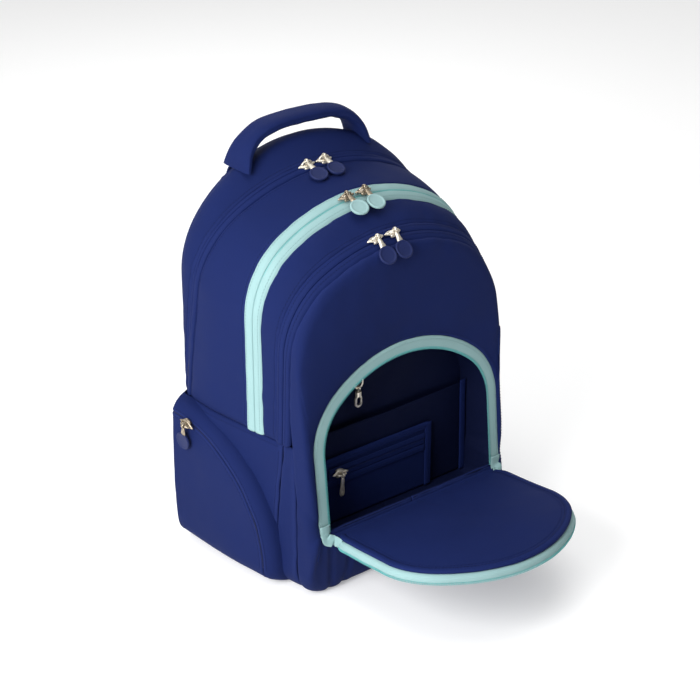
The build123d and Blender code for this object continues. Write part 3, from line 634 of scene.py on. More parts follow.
def rounded_path(start, corner, end, t, radius):
    """Straight, turn, straight from start by corner to end, one row per set of points."""
    to_start, to_end = start - corner, end - corner
    length_1 = np.linalg.norm(to_start, axis=1, keepdims=True)
    length_2 = np.linalg.norm(to_end, axis=1, keepdims=True)
    bend = np.minimum(radius, 0.92 * np.minimum(length_1, length_2))
    turn_in = corner + to_start * bend / np.maximum(length_1, 1e-9)
    turn_out = corner + to_end * bend / np.maximum(length_2, 1e-9)
    spans = np.concatenate([length_1 - bend, 1.6 * bend, length_2 - bend], axis=1)
    marks = np.cumsum(spans, axis=1)
    place = t[None, :] * marks[:, -1:]
    a = np.clip(place / np.maximum(marks[:, :1], 1e-9), 0, 1)[..., None]
    b = np.clip((place - marks[:, :1]) / spans[:, 1:2], 0, 1)[..., None]
    c = np.clip((place - marks[:, 1:2]) / np.maximum(spans[:, 2:], 1e-9), 0, 1)[..., None]
    curve = (1 - b) ** 2 * turn_in[:, None] + 2 * b * (1 - b) * corner[:, None] + b**2 * turn_out[:, None]
    straight_1 = start[:, None] + (turn_in - start)[:, None] * a
    straight_2 = turn_out[:, None] + (end - turn_out)[:, None] * c
    first = place[..., None] <= marks[:, :1, None]
    last = place[..., None] > marks[:, 1:2, None]
    return np.where(first, straight_1, np.where(last, straight_2, curve))


around = even_steps(lambda s: shell_point(s, -0.08), -6, 6, SHELL_STEP)
settle = np.clip((np.abs(around) - 2.6) / 0.8, 0, 1)
front_edge_y = (on_plane(around, beside(FRONT_ZIP, FRONT_BAND[1])) * (1 - settle)
                + (FRONT_SEAM_Y - 0.6 * MM) * settle)
panel_start = shell_point(around, front_edge_y)
panel_corner = panel_start
for _ in range(2):
    face_y = np.interp(panel_corner[:, 2], FRONT_PROFILE[:, 0], FRONT_PROFILE[:, 1])
    panel_corner = shell_point(around, face_y)
pocket_edge = zip_point(POCKET_ZIP, around, 0.4 * MM, 0.0, 6 * MM)
across_steps = np.concatenate([[0, 0.012, 0.03, 0.06], np.linspace(0.1, 0.93, 22), [0.965, 0.985, 1.0]])
panel_grid = rounded_path(panel_start, panel_corner, pocket_edge, across_steps, 24 * MM)
# The third mask is painted shade on the hem rows in the seam gaps. The second is a paler band beside them.
front_points, front_pale_edge, front_seam_shade = panel_points(
    None, None, None, points=panel_grid, bulge=3.5 * MM, seed=6, end_seams=False
)
# Pleats that gather the lower corners of the face
for pleat_x, lean in ((-106 * MM, -0.10), (-81 * MM, 0.10), (81 * MM, -0.10), (106 * MM, 0.10)):
    gap = front_points[..., 0] - pleat_x - lean * (front_points[..., 2] - 40 * MM)
    reach = np.clip((74 * MM - front_points[..., 2]) / (10 * MM), 0, 1) * (front_points[..., 1] < -88 * MM)
    front_points[..., 1] += reach * (2.4 * MM * np.exp(-(gap / (2.2 * MM)) ** 2)
                                     - 1.2 * MM * np.exp(-((np.abs(gap) - 6 * MM) / (4 * MM)) ** 2))
cloth("front_panel_cloth", front_points, BAG_CENTRE, SHELL_CLOTH, "root", "navy_fabric", ["front_panel"],
      edge=front_pale_edge, seam=front_seam_shade)

# ------------------------------------------------------------------ back panel
back_ring = even_steps(lambda s: shell_point(s, BACK_Y), -6, 6, 6 * MM)[:-1]
rim = shell_point(back_ring, BACK_Y)
middle_point = np.array([0, BACK_Y + 1 * MM, 0.22])
shares = np.array([1.0, 0.985, 0.96, 0.9, 0.8, 0.68, 0.55, 0.42, 0.3, 0.18, 0.08, 0.0])
back_points = middle_point + (rim[:, None] - middle_point) * shares[None, :, None]
depth = 3.0 * MM * (1 - shares**6) + 0.8 * MM * noise_at(back_points, 60 * MM, 21)
back_points[..., 1] += depth - 0.2 * MM
cloth("back_panel_cloth", back_points, BAG_CENTRE, 2 * MM, "root", "navy_fabric", ["back_panel"], welded=True,
      close_rows=True)


# ------------------------------------------------------------------ zips
def outward_of(line, s):
    """Direction away from the bag, in the zip line's plane."""
    return zip_point(line, s, 0, 1 * MM) - zip_point(line, s)


def tape_half(line, s, low, high, lift, seed, scallop=0.55 * MM):
    """One half of a closed zip's tape: its middle edge turns down, and the sewing puffs it."""
    t = np.array([0, 0.0, 0.04, 0.14, 0.35, 0.6, 0.82, 0.95, 1.0, 1.14, 1.14])
    height = np.array([-1.6, -0.5, 0.35, 0.75, 0.95, 0.9, 0.55, 0.1, -0.6, -1.6, -4.2]) * lift
    wave = scallop * noise_at(zip_point(line, s), 9 * MM, seed)
    puff = 1 + 0.35 * noise_at(zip_point(line, s), 14 * MM, seed + 3)
    rows = []
    for share, rise in zip(t, height):
        offset = low + (high - low) * share + wave * (share > 0.5)
        y = on_plane(s, lambda z: zip_depth(line, z) - offset)
        rows.append(shell_point(s, y) + outward_of(line, s) / MM * (rise * puff)[:, None])
    return np.stack(rows, axis=1)


def closed_zip(name, line, band, colour, lift, seed):
    s = even_steps(lambda v: zip_point(line, v), -3, 3, 3.5 * MM)
    halves = [tape_half(line, s, 0.35 * MM, band[1], lift, seed),
              tape_half(line, s, -0.35 * MM, band[0], lift, seed + 1)]
    made = face_outward(joined_grids(f"{name}_tape", halves), BAG_CENTRE)
    dress(thicken(made, 0.7 * MM), "root", f"{colour}_tape", nodes=[name])
    teeth = even_steps(lambda v: zip_point(line, v), -2.98, 2.98, 2 * MM)
    teeth_line = zip_point(line, teeth, 0, -0.9 * MM)
    coil(f"{name}_coil", teeth_line, outward_of(line, teeth), "root", f"{colour}_coil")


closed_zip("rear_zip", REAR_ZIP, REAR_BAND, "navy", 0.8 * MM, 31)
closed_zip("middle_zip", MIDDLE_ZIP, MIDDLE_BAND, "aqua", 1.1 * MM, 33)
closed_zip("front_zip", FRONT_ZIP, FRONT_BAND, "navy", 1.1 * MM, 35)

# The lower pocket's half of its zip lies open round the mouth, with its teeth on the inner edge.
pocket_line = even_steps(lambda v: zip_point(POCKET_ZIP, v), -4, 4, 3.5 * MM)
tape_shares = np.array([0, 0.06, 0.2, 0.45, 0.7, 0.9, 1.0])
tape_height = np.array([-0.6, 0.3, 0.6, 0.7, 0.6, 0.35, 0.1]) * MM
curl = 1 + 0.3 * noise_at(zip_point(POCKET_ZIP, pocket_line), 22 * MM, 41)
pocket_tape_points = zip_point(
    POCKET_ZIP, pocket_line[:, None], tape_height * curl[:, None], -POCKET_TAPE_WIDTH * tape_shares + 0.8 * MM
)
cloth("pocket_zip_tape", pocket_tape_points, (0, 0.1, 0.17), 0.8 * MM, "root", "aqua_tape", ["pocket_zip"])
fine_line = even_steps(lambda v: zip_point(POCKET_ZIP, v), -4, 4, 2 * MM)
teeth_line = zip_point(POCKET_ZIP, fine_line, 0.3 * MM, 0.8 * MM - POCKET_TAPE_WIDTH)
forward_direction = zip_point(POCKET_ZIP, 0.0, 1.0) - zip_point(POCKET_ZIP, 0.0)
coil("pocket_zip_teeth", teeth_line, forward_direction, "root", "aqua_coil", reach=1.5 * MM, radius=0.55 * MM)

# ------------------------------------------------------------------ inside of the lower pocket
LINER_ARCH = Arch(0.120, 0.165, 0.255, 0.074)
LINER_BACK_Y = -48 * MM
LINER_FLOOR_Z = 52 * MM


def liner_point(s, y):
    """Point of the pocket's inside wall."""
    s, y = np.broadcast_arrays(np.asarray(s, float), np.asarray(y, float))
    x, z = arch_point(LINER_ARCH, s, 90 * MM, LINER_FLOOR_Z, 8 * MM)
    return np.stack([x, y, z], axis=-1)


wall_line = even_steps(lambda v: liner_point(v, LINER_BACK_Y), -6, 6, 5 * MM)
wall_back = liner_point(wall_line, LINER_BACK_Y)
wall_mouth = zip_point(POCKET_ZIP, wall_line, -1.6 * MM, -1.5 * MM, 6 * MM)
wall_bend = np.column_stack([wall_back[:, 0], wall_mouth[:, 1] + 3 * MM, wall_back[:, 2]])
wall_corner = np.where(np.abs(wall_line)[:, None] > 3, wall_bend, 0.5 * (wall_back + wall_mouth))
wall_t = np.linspace(0, 1, 16)
wall_points = rounded_path(wall_back, wall_corner, wall_mouth, wall_t, 8 * MM)
wall_normal = grid_normals(wall_points, (0, -0.07, 0.17))
wall_points -= wall_normal * (1.3 * MM * noise_at(wall_points, 26 * MM, 51)
                              * np.sin(pi * wall_t)[None, :])[..., None]
wall = grid_object("pocket_wall", wall_points)
thicken(wall, 1.0 * MM)
dress(wall, "root", "navy_lining", nodes=["pocket_liner"])


BEHIND_POCKET = (0, 0.2, 0.15)


def sagging_sheet(name, xs, zs, y, material, nodes, ripple, seed, lean, thickness=1.0 * MM, step=6 * MM):
    """Upright sheet that faces the front, with soft ripples; its top may lean forward."""
    (low_x, high_x), (low_z, high_z) = xs, zs
    x, z = np.meshgrid(*(np.linspace(low, high, max(4, ceil((high - low) / step))) for low, high in (xs, zs)),
                       indexing="ij")
    share = (z - low_z) / (high_z - low_z)
    across = np.sin(pi * (x - low_x) / (high_x - low_x))
    points = np.stack([x, np.full_like(x, y), z], axis=-1)
    lift = (ripple * noise_at(points, 42 * MM, seed) * np.sqrt(np.clip(across, 0, 1))
            + lean * share**2 * across)
    points[..., 1] -= lift
    return cloth(name, points, BEHIND_POCKET, thickness, "root", material, nodes)


back_wall_rows = np.array([1.0, 0.97, 0.9, 0.8, 0.68, 0.55, 0.42, 0.3, 0.18, 0.08, 0.0])
liner_middle = np.array([0, LINER_BACK_Y, 0.165])
liner_back_points = liner_middle + (wall_back[:-1, None] - liner_middle) * back_wall_rows[None, :, None]
liner_back_points[..., 1] -= 1.4 * MM * noise_at(liner_back_points, 38 * MM, 52) * (1 - back_wall_rows**4)
cloth("pocket_back_wall", liner_back_points, BEHIND_POCKET, 0, "root", "navy_lining", welded=True,
      close_rows=True)

SHEET_FOOT_Z = LINER_FLOOR_Z + 1 * MM
sagging_sheet("slip_pocket_cloth", (-118 * MM, 118 * MM), (SHEET_FOOT_Z, 165 * MM), -54 * MM,
              "navy_lining", ["slip_pocket"], 1.2 * MM, 53, lean=3 * MM)
sagging_sheet("zip_pocket_cloth", (-78 * MM, 64 * MM), (SHEET_FOOT_Z, 133 * MM), -57.4 * MM,
              "navy_fabric", ["inner_zip_pocket"], 0.9 * MM, 54, lean=1 * MM)


def binding_strip(name, start, end, width, seed, lift=1.1 * MM):
    """Folded binding tape along a straight run: a flat rounded band with a wavering edge."""
    start, end = np.array(start), np.array(end)
    count = max(4, ceil(np.linalg.norm(end - start) / (5 * MM)))
    points = start + (end - start) * np.linspace(0, 1, count)[:, None]
    profile = np.array([(-0.5, -0.6), (-0.5, 0.2), (-0.44, 0.7), (-0.2, 1), (0.2, 1), (0.44, 0.7), (0.5, 0.2),
                        (0.5, -0.6)]) * (width, lift)
    waver = 0.4 * MM * noise_at(points, 12 * MM, seed)
    grid = ribbon(points, (0, -1, 0), profile)
    grid[:, :, 2 if abs((end - start)[0]) > abs((end - start)[2]) else 0] += waver[:, None]
    return cloth(name, grid, BEHIND_POCKET, 0.5 * MM, "root", "navy_binding")


ZIP_FACE_Y = -58.6 * MM
EDGE_FACE_Y = ZIP_FACE_Y - 0.4 * MM
for name, start, end, width, seed in (
    ("zip_pocket_top", (-0.079, ZIP_FACE_Y, 0.130), (0.065, ZIP_FACE_Y, 0.130), 9 * MM, 61),
    ("zip_pocket_low", (-0.079, ZIP_FACE_Y, 0.1035), (0.060, ZIP_FACE_Y, 0.1035), 9 * MM, 62),
    ("zip_pocket_right", (0.0645, EDGE_FACE_Y, 0.134), (0.0645, EDGE_FACE_Y, 0.054), 9 * MM, 63),
    ("zip_pocket_left", (-0.079, EDGE_FACE_Y, 0.134), (-0.079, EDGE_FACE_Y, 0.054), 5 * MM, 64),
    ("slip_pocket_right", (0.1155, -0.0575, 0.170), (0.1165, -0.0590, 0.056), 8 * MM, 65),
):
    binding_strip(f"{name}_binding", start, end, width, seed)
inner_x = np.linspace(-0.075, 0.059, 90)
inner_line = np.stack([inner_x, np.full(90, -0.0591), np.full(90, 0.115)], axis=-1)
halves = []
for sign in (-1, 1):
    profile = np.array([(0.3, -0.4), (0.35, 0.3), (1.2, 0.6), (4.0, 0.5), (7.0, 0.2)]) * MM
    profile[:, 0] *= sign
    halves.append(ribbon(inner_line, (0, -1, 0), profile))
inner_tape = thicken(face_outward(joined_grids("inner_zip_tape", halves), (0, 0.2, 0.1)), 0.4 * MM)
dress(inner_tape, "root", "navy_tape", nodes=["inner_zip"])
coil("inner_zip_coil", inner_line + (0, -0.0003, 0), (0, -1, 0), "root", "navy_coil", reach=1.9 * MM)

# ------------------------------------------------------------------ flap of the lower pocket
FLAP_TILT = radians(8)
FLAP_ARCH = Arch(0.115, 0.088, 0.181, 0.078)
FLAP_CENTRE_X = POCKET_ZIP.centre_x + 3 * MM
HINGE_HEIGHT = 78 * MM
lean_length = sqrt(1 + POCKET_ZIP.lean**2)
pocket_up = np.array([0, POCKET_ZIP.lean, 1]) / lean_length
pocket_floor = np.array([FLAP_CENTRE_X, POCKET_ZIP.depth - POCKET_ZIP.lean * POCKET_ZIP.apex_z, 0])
pocket_forward = np.array([0, -1, POCKET_ZIP.lean]) / lean_length
flap_origin = pocket_floor + pocket_up * HINGE_HEIGHT + pocket_forward * 4 * MM
flap_out = np.array([0, -sin(FLAP_TILT), -cos(FLAP_TILT)])
flap_along = np.array([0, -cos(FLAP_TILT), sin(FLAP_TILT)])


def flap_point(x, along, out):
    """Point of the opened flap: it humps a little at its root corners and droops at its rim."""
    x, along, out = np.broadcast_arrays(*(np.asarray(v, float) for v in (x, along, out)))
    x = x * (1 - 0.07 * np.clip(1 - along / (20 * MM), 0, 1) ** 2)
    corner_hump = (1.2 * MM * np.exp(-((along - 22 * MM) / (18 * MM)) ** 2)
                   * np.clip(np.abs(x) / 0.118, 0, 1) ** 3)
    crown = 3.5 * MM * np.sin(pi * np.clip(along / FLAP_ARCH.apex, 0, 1)) * (1 - (x / 0.125) ** 2)
    droop = 2.5 * MM * np.clip(along / FLAP_ARCH.apex, 0, 1.05) ** 3
    wave = (0.8 * MM * noise_at(np.stack([x, along, 0 * x], axis=-1), 70 * MM, 73)
            * np.clip(along / 0.09, 0, 1))
    rise = (corner_hump + crown + wave - droop)[..., None]
    return (flap_origin + x[..., None] * np.array([1, 0, 0]) + along[..., None] * flap_along
            + (out[..., None] - rise) * flap_out)


def flap_outline(s, inset):
    half, spring, apex, corner = FLAP_ARCH
    arch = Arch(half - inset, spring, apex - inset, corner - inset)
    return arch_point(arch, s, 20 * MM, 3 * MM, 2 * MM)


FLAP_MIDDLE = flap_point(0, 0.08, 1.7 * MM)
FLAP_BINDING = 7 * MM
flap_s = even_steps(lambda v: np.stack([*flap_outline(v, 0.0), 0 * v], axis=-1), -6, 6, 4 * MM)[:-1]
ring_shares = np.array([1.0, 0.985, 0.95, 0.88, 0.78, 0.66, 0.53, 0.4, 0.27, 0.15, 0.06, 0.0])


def flap_layer(name, out, quilt, seed, material, nodes):
    """One face of the padded flap, domed and softly creased inside its binding."""
    x, along = flap_outline(flap_s, FLAP_BINDING - 2.5 * MM)
    centre_along = 85 * MM
    px = x[:, None] * ring_shares
    pa = centre_along + (along[:, None] - centre_along) * ring_shares
    plain = np.stack([px, pa, np.zeros_like(px)], axis=-1)
    swell = quilt * (1 - ring_shares**5) + 0.9 * MM * noise_at(plain, 46 * MM, seed) * (1 - ring_shares**3)
    edge_band = 0.8 * MM * noise_at(plain, 9 * MM, seed + 1) * np.exp(-((1 - ring_shares) / 0.09))
    points = flap_point(px, pa, out - (swell + edge_band) * (1 if out < 2 * MM else -1))
    made = grid_object(name, points, close_rows=True)
    face_outward(weld(made), FLAP_MIDDLE)
    dress(thicken(made, 0), "flap", material, nodes=nodes)
    return made


flap_layer("flap_inner_face", 0.9 * MM, 1.9 * MM, 71, "navy_fabric", ["flap_lining"])
flap_cover = flap_layer("flap_outer_face", 3.0 * MM, 1.6 * MM, 75, "navy_fabric", ["flap_panel"])

rim_s = even_steps(lambda v: np.stack([*flap_outline(v, 0.0), 0 * v], axis=-1), -3.9, 3.9, 3.5 * MM)


def flap_rim(inset, out, seed, waver):
    """Line round the flap's free edge."""
    x, along = flap_outline(rim_s, inset)
    plain = np.stack([x, along, 0 * x], axis=-1)
    x, along = flap_outline(rim_s, inset + waver * noise_at(plain, 13 * MM, seed))
    return flap_point(x, along, out)


binding_rows = [(8.6, 1.2), (8.0, 0.3), (5.2, -0.5), (2.6, -0.6), (0.6, -0.1), (-0.3, 1.4), (0.2, 3.2),
                (2.0, 4.4), (4.6, 4.6), (8.0, 3.9), (8.6, 2.6)]
binding_points = np.stack(
    [flap_rim(a * MM, b * MM, 81, 1.1 * MM if a > 6 else 0.3 * MM) for a, b in binding_rows], axis=1
)
# Painted shade on the binding's edge rows, where it tucks in against the flap's faces.
binding_tuck_shade = np.zeros(binding_points.shape[:2])
binding_tuck_shade[:, [0, 1, -2, -1]] = (1, 0.7, 0.7, 1)
cloth("flap_binding_tape", binding_points, FLAP_MIDDLE, 0.5 * MM, "flap", "navy_binding", ["flap_binding"],
      seam=binding_tuck_shade)

skirt_rows = [(2.6, 3.6), (0.6, 4.4), (-1.0, 5.4), (-2.2, 7.2), (-2.7, 9.4), (-2.8, 11.2), (-2.8, 12.4)]
skirt_points = np.stack([flap_rim(a * MM, b * MM, 82, 0.5 * MM) for a, b in skirt_rows], axis=1)
cloth("flap_zip_tape", skirt_points, FLAP_MIDDLE, 0.7 * MM, "flap", "aqua_tape", ["flap_zip"])
teeth_rim = flap_rim(-2.9 * MM, 12.8 * MM, 82, 0.3 * MM)
teeth_up = flap_rim(-3.9 * MM, 12.8 * MM, 82, 0.3 * MM) - teeth_rim
coil("flap_zip_teeth", teeth_rim, teeth_up, "flap", "aqua_coil", reach=1.5 * MM, radius=0.55 * MM)

# Cloth hinge from the pocket's lower lip to the flap's root.
hinge_x = np.linspace(-0.111, 0.113, 60)
lip = pocket_floor + pocket_up * 80.5 * MM
hinge_rows = []
for share in np.linspace(0, 1, 9):
    root_side = lip + pocket_forward * 0.3 * MM - pocket_up * 4 * MM * (1 - share)
    flap_side = flap_point(0.0, 8 * MM * share, 2.2 * MM)
    bowed = root_side * (1 - share) + flap_side * share - np.array([0, 0, 1]) * 2.0 * MM * sin(pi * share)
    hinge_rows.append(np.column_stack([hinge_x + FLAP_CENTRE_X, np.full((60, 2), bowed[1:])]))
hinge_points = np.stack(hinge_rows, axis=1)
hinge_points[..., 2] += 0.7 * MM * noise_at(hinge_points, 18 * MM, 91)
hinge = cloth("flap_cloth_hinge", hinge_points, (0, -0.1, 0.2), 1.4 * MM, None, "navy_fabric", offset=0.0)
tuple(flap_point(0.0, 7 * MM, 2.2 * MM))
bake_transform(hinge)


# ------------------------------------------------------------------ side pockets
SIDE_SLANT = radians(6.5)
SIDE_ORIGIN_X = 148.4 * MM
SIDE_CENTRE = (95 * MM, 20 * MM)
SIDE_RADIUS = 156 * MM
SIDE_ZIP_RADIUS = 141.5 * MM
SIDE_DEPTH = 12.6 * MM
SIDE_BACK = 101 * MM


def side_point(along, z, depth, sign):
    """Point of a side pocket: sign is that of x, and depth is outward from its base plane."""
    along, z, depth = np.broadcast_arrays(*(np.asarray(v, float) for v in (along, z, depth)))
    x = -(SIDE_ORIGIN_X + sin(SIDE_SLANT) * along + cos(SIDE_SLANT) * depth)
    y = cos(SIDE_SLANT) * along - sin(SIDE_SLANT) * depth
    return np.stack([-sign * x, y, z], axis=-1)


def side_outline(turn, radius):
    """(along, z) at an angle from straight up towards the front; past 90 degrees it drops to the foot."""
    drop = np.clip(turn - pi / 2, 0, None)
    arc = np.clip(turn, 0, pi / 2)
    along = SIDE_CENTRE[0] - radius * np.sin(arc) - SIDE_RADIUS * np.clip(turn, None, 0)
    z = SIDE_CENTRE[1] + radius * np.cos(arc) - drop * SIDE_RADIUS
    return along, z


def side_height(along, z):
    """How far the side pocket stands out at a point of its outline plane."""
    reach = np.hypot(SIDE_CENTRE[0] - along, np.clip(z - SIDE_CENTRE[1], 0, None))

    def ramp(distance, width):
        share = np.clip(distance / width, 0, 1)
        return np.sqrt(1 - (1 - share) ** 2)

    rim_ramp = ramp(SIDE_RADIUS - reach, 17 * MM)
    foot_ramp = ramp(z - 1 * MM, 26 * MM)
    back_ramp = ramp(SIDE_BACK - along, 8 * MM)
    full = rim_ramp * foot_ramp * back_ramp
    belly = 2.5 * MM * np.sin(pi * np.clip(reach / SIDE_RADIUS, 0, 1))
    under = FOOT_RADIUS * (1 - ramp(z, FOOT_RADIUS)) * (1 - full)
    return -6 * MM + (SIDE_DEPTH + 6 * MM) * full + belly * full - 9 * MM * (1 - back_ramp) - under


side_turns = np.concatenate([
    np.linspace(-6.5 * MM / SIDE_RADIUS, 0, 7)[:-1], np.linspace(0, pi / 2 + 19 * MM / SIDE_RADIUS, 84)
])
side_reach = np.concatenate([
    np.linspace(SIDE_RADIUS, SIDE_RADIUS - 10 * MM, 9),
    np.linspace(SIDE_RADIUS - 12 * MM, SIDE_ZIP_RADIUS + 0.9 * MM, 3),
    [SIDE_ZIP_RADIUS + 0.45 * MM, SIDE_ZIP_RADIUS, SIDE_ZIP_RADIUS - 0.45 * MM],
    np.linspace(SIDE_ZIP_RADIUS - 0.9 * MM, SIDE_ZIP_RADIUS - 8 * MM, 5),
    np.linspace(SIDE_ZIP_RADIUS - 14 * MM, 1 * MM, 22),
])


def side_lumps(points):
    return 1.5 * MM * noise_at(points, 55 * MM, 101) + 0.5 * MM * noise_at(points, 19 * MM, 102)


for side, sign in SIDES:
    along, z = side_outline(side_turns[:, None], side_reach[None, :])
    plain = np.stack([np.full_like(along, sign * 1.0), along, z], axis=-1)
    heel_along, heel_z = np.meshgrid(np.linspace(93 * MM, SIDE_BACK, 6), np.linspace(1, 23, 12) * MM,
                                     indexing="ij")
    heel_plain = np.stack([np.full_like(heel_along, sign * 1.0), heel_along, heel_z], axis=-1)
    heel_height = side_height(heel_along, heel_z) + side_lumps(heel_plain)
    heel_points = side_point(heel_along, heel_z, heel_height, sign)
    cloth(f"side_pocket_{side}_heel", heel_points, BAG_CENTRE, 0, "root", "navy_fabric")
    from_zip = np.abs(side_reach - SIDE_ZIP_RADIUS)[None, :]
    groove = (-1.8 * MM * np.exp(-(from_zip / (0.8 * MM)) ** 2)
              + 0.5 * MM * np.exp(-((from_zip - 2.2 * MM) / (1.6 * MM)) ** 2))
    inside = np.clip((SIDE_RADIUS - side_reach[None, :]) / (12 * MM), 0, 1)
    height = side_height(along, z) + groove + side_lumps(plain) * inside
    points = side_point(along, z, height, sign)
    # Painted shade in the groove along the zip line, and a paler band on the ridge beside it.
    dark = np.broadcast_to(np.exp(-(from_zip / (0.5 * MM)) ** 2), along.shape)
    edge_band = np.broadcast_to(0.8 * np.exp(-((from_zip - 2.2 * MM) / (1.5 * MM)) ** 2), along.shape)
    cloth(f"side_pocket_{side}_cloth", points, BAG_CENTRE, 0, "root", "navy_fabric", [f"side_pocket_{side}"],
          edge=edge_band, seam=dark)
    zip_turns = np.linspace(0.02, pi / 2 - 0.04, 120)
    along, z = side_outline(zip_turns, SIDE_ZIP_RADIUS)
    coil_points = side_point(along, z, side_height(along, z) - 0.9 * MM, sign)
    made = coil(f"side_zip_{side}_coil", coil_points, (sign, 0, 0), "root", "navy_coil", reach=1.3 * MM)
    if sign < 0:
        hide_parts("side_zips")

# ------------------------------------------------------------------ sliders and pulls
Seat = namedtuple("Seat", "origin x y z")


def seat_at(origin, x, z):
    origin, x, z = (np.asarray(v, float) for v in (origin, x, z))
    return Seat(origin, x, np.cross(z, x), z)


def placed(seat, points, mirrored=False):
    """Points given in a seat's own directions, put in the bag's frame."""
    points = seat.origin + points[..., :1] * seat.x + points[..., 1:2] * seat.y + points[..., 2:] * seat.z
    return points * (-1, 1, 1) if mirrored else points


def plate(outline, levels):
    """Closed grid of a flat part: each level is (inset from the outline, height)."""
    outline = np.asarray(outline, float)
    centre = outline.mean(axis=0)
    outward = outline - centre
    reach = np.linalg.norm(outward, axis=1, keepdims=True)
    rows = []
    for inset, height in [(None, levels[0][1]), *levels, (None, levels[-1][1])]:
        flat = centre + outward * (0.02 if inset is None else 1 - inset / reach)
        rows.append(np.column_stack([flat, np.full(len(flat), height)]))
    return np.stack(rows)


def tube(path, up, profile):
    """Closed grid of a rounded bar along a path, with its ends drawn in."""
    path = np.asarray(path, float)
    grid = ribbon(path, up, profile)
    centre = path[:, None]
    ends = [centre[:1] + (grid[:1] - centre[:1]) * 0.02, centre[-1:] + (grid[-1:] - centre[-1:]) * 0.02]
    return np.concatenate([ends[0], grid, ends[1]])


def ring(centre, x, y, radius, profile, count=28):
    """Closed ring in the plane of x and y; the profile is (out, along the axis)."""
    centre, x, y = (np.asarray(v, float) for v in (centre, x, y))
    turns = np.linspace(0, 2 * pi, count, endpoint=False)
    out = np.cos(turns)[:, None] * x + np.sin(turns)[:, None] * y
    axis = np.cross(x, y)
    profile = np.asarray(profile, float)
    grid = centre + out[:, None] * (radius + profile[None, :, :1]) + profile[None, :, 1:] * axis
    return np.concatenate([grid, grid[:1]])


def solid_piece(name, grids, body, material, nodes=()):
    made = weld(joined_grids(name, grids, close_columns=True), recalculate=True)
    return dress(made, body, material, nodes)


KITE_SIDE = np.array([
    (-9.2, 0.9), (-7.0, 2.2), (-5.2, 3.6), (-3.2, 4.5), (-0.6, 4.6), (2.0, 4.1), (5.0, 3.0), (8.0, 1.7),
    (10.2, 0.7),
])
KITE = MM * np.concatenate([[(-10.8, 0)], KITE_SIDE, [(10.6, 0)], KITE_SIDE[::-1] * (1, -1)])
BRIDGE_SIDE = np.array([(-6.2, 4.0), (-6.0, 5.6), (-5.2, 7.0), (-3.8, 7.9), (-2.0, 8.15)])
BRIDGE = MM * np.concatenate([BRIDGE_SIDE, [(0, 8.2)], BRIDGE_SIDE[::-1] * (-1, 1)])
SHORT_TAB_SIDE = MM * np.array([
    (0.9, -2.2), (1.7, -3.2), (2.1, -5), (2.6, -8), (3.3, -11.5), (3.5, -13.6), (2.9, -14.8), (1.4, -15.3),
])
LONG_TAB_SIDE = MM * np.array([
    (0.9, -2.2), (1.7, -3.2), (2.0, -6), (2.4, -13), (3.0, -19), (3.2, -23), (2.9, -25.4), (1.7, -27),
])
DISC_FACE = MM * np.array([(3.4, -1.0), (2.2, -1.1), (1.4, -1.6), (0.5, -1.45), (0, -0.8)])  # inset, height
CROWN_BAR = 8 * MM


def slider_grids(seat, shift, mirrored=False):
    """Kite plate over the coil, two side flanges and the arched bridge that carries the pull."""
    top = plate(KITE, MM * np.array([(0.5, 2.5), (0, 2.8), (0, 3.7), (0.5, 4.3), (1.4, 4.6)]))
    flanges = []
    for side in (-1, 1):
        lip = KITE[3:8] * (0.92, side)
        path = np.column_stack([lip, np.full(len(lip), 1.6 * MM)])
        flanges.append(tube(path, (0, 0, 1), round_profile(0.5 * MM, 1.5 * MM, 8)))
    lean = np.clip((BRIDGE[:, 1] - 4 * MM) / (4 * MM), 0, 1)
    bridge = tube(np.column_stack([BRIDGE[:, 0], -shift * lean, BRIDGE[:, 1]]), (0, 1, 0),
                  round_profile(0.75 * MM, 1.15 * MM, 10))
    return [placed(seat, grid, mirrored) for grid in (top, *flanges, bridge)]


def pull_seat(seat, shift, droop):
    fall = radians(droop)
    origin = seat.origin - seat.y * shift + seat.z * CROWN_BAR
    return seat_at(origin, seat.x, seat.z * cos(fall) - seat.y * sin(fall))


def tab_grids(hang, disc, mirrored=False):
    """Metal tab: an eye round the crown bar, a waist and a flared end; the long one has a round hole."""
    eye = ring((0, 0, 0), (0, 1, 0), (0, 0, 1), 2.35 * MM, round_profile(0.6 * MM, 1.5 * MM, 10), 20)
    half = SHORT_TAB_SIDE if disc else LONG_TAB_SIDE
    outline = np.concatenate([half, half[::-1] * (-1, 1)])
    blade = plate(outline, [(0.35 * MM, -0.8 * MM), (0, -0.5 * MM), (0, 0.5 * MM), (0.35 * MM, 0.8 * MM)])
    grids = [eye, blade]
    if disc:
        rim = outline * (0.62, 0.62) + (0, -3.6 * MM)
        raised = plate(rim, [(0, 0.6 * MM), (0.1 * MM, 1.05 * MM), (0.6 * MM, 1.25 * MM)])
        grids.append(raised)
    else:
        for side in (-1, 1):
            grids.append(ring((0, -23 * MM, side * 0.75 * MM), (1, 0, 0), (0, 1, 0), 1.9 * MM,
                              round_profile(0.45 * MM, 0.3 * MM, 8), 24))
    return [placed(hang, grid, mirrored) for grid in grids]


def disc_grids(hang, mirrored=False):
    """Moulded disc with a rounded rim and a shallow dish."""
    turns = np.linspace(0, 2 * pi, 40, endpoint=False)
    outline = 10 * MM * np.column_stack([np.sin(turns), np.cos(turns)]) + (0, -22 * MM)
    body = plate(outline, np.concatenate([DISC_FACE, DISC_FACE[::-1] * (1, -1)]))
    return [placed(hang, body, mirrored)]


def arch_seat(line, x):
    """Seat on the crown of a zip line: x along the zip, z outward."""
    crown = crown_radius(line.arch)
    turn = asin(x / crown)
    length = sqrt(1 + line.lean**2)
    rise = np.array([0, line.lean, 1]) / length
    base = np.array([0, line.depth - line.lean * line.apex_z, 0])
    outward = np.array([sin(turn), 0, 0]) + rise * cos(turn)
    along = np.array([cos(turn), 0, 0]) - rise * sin(turn)
    return seat_at(base + rise * (line.arch.apex - crown) + outward * crown, along, outward)


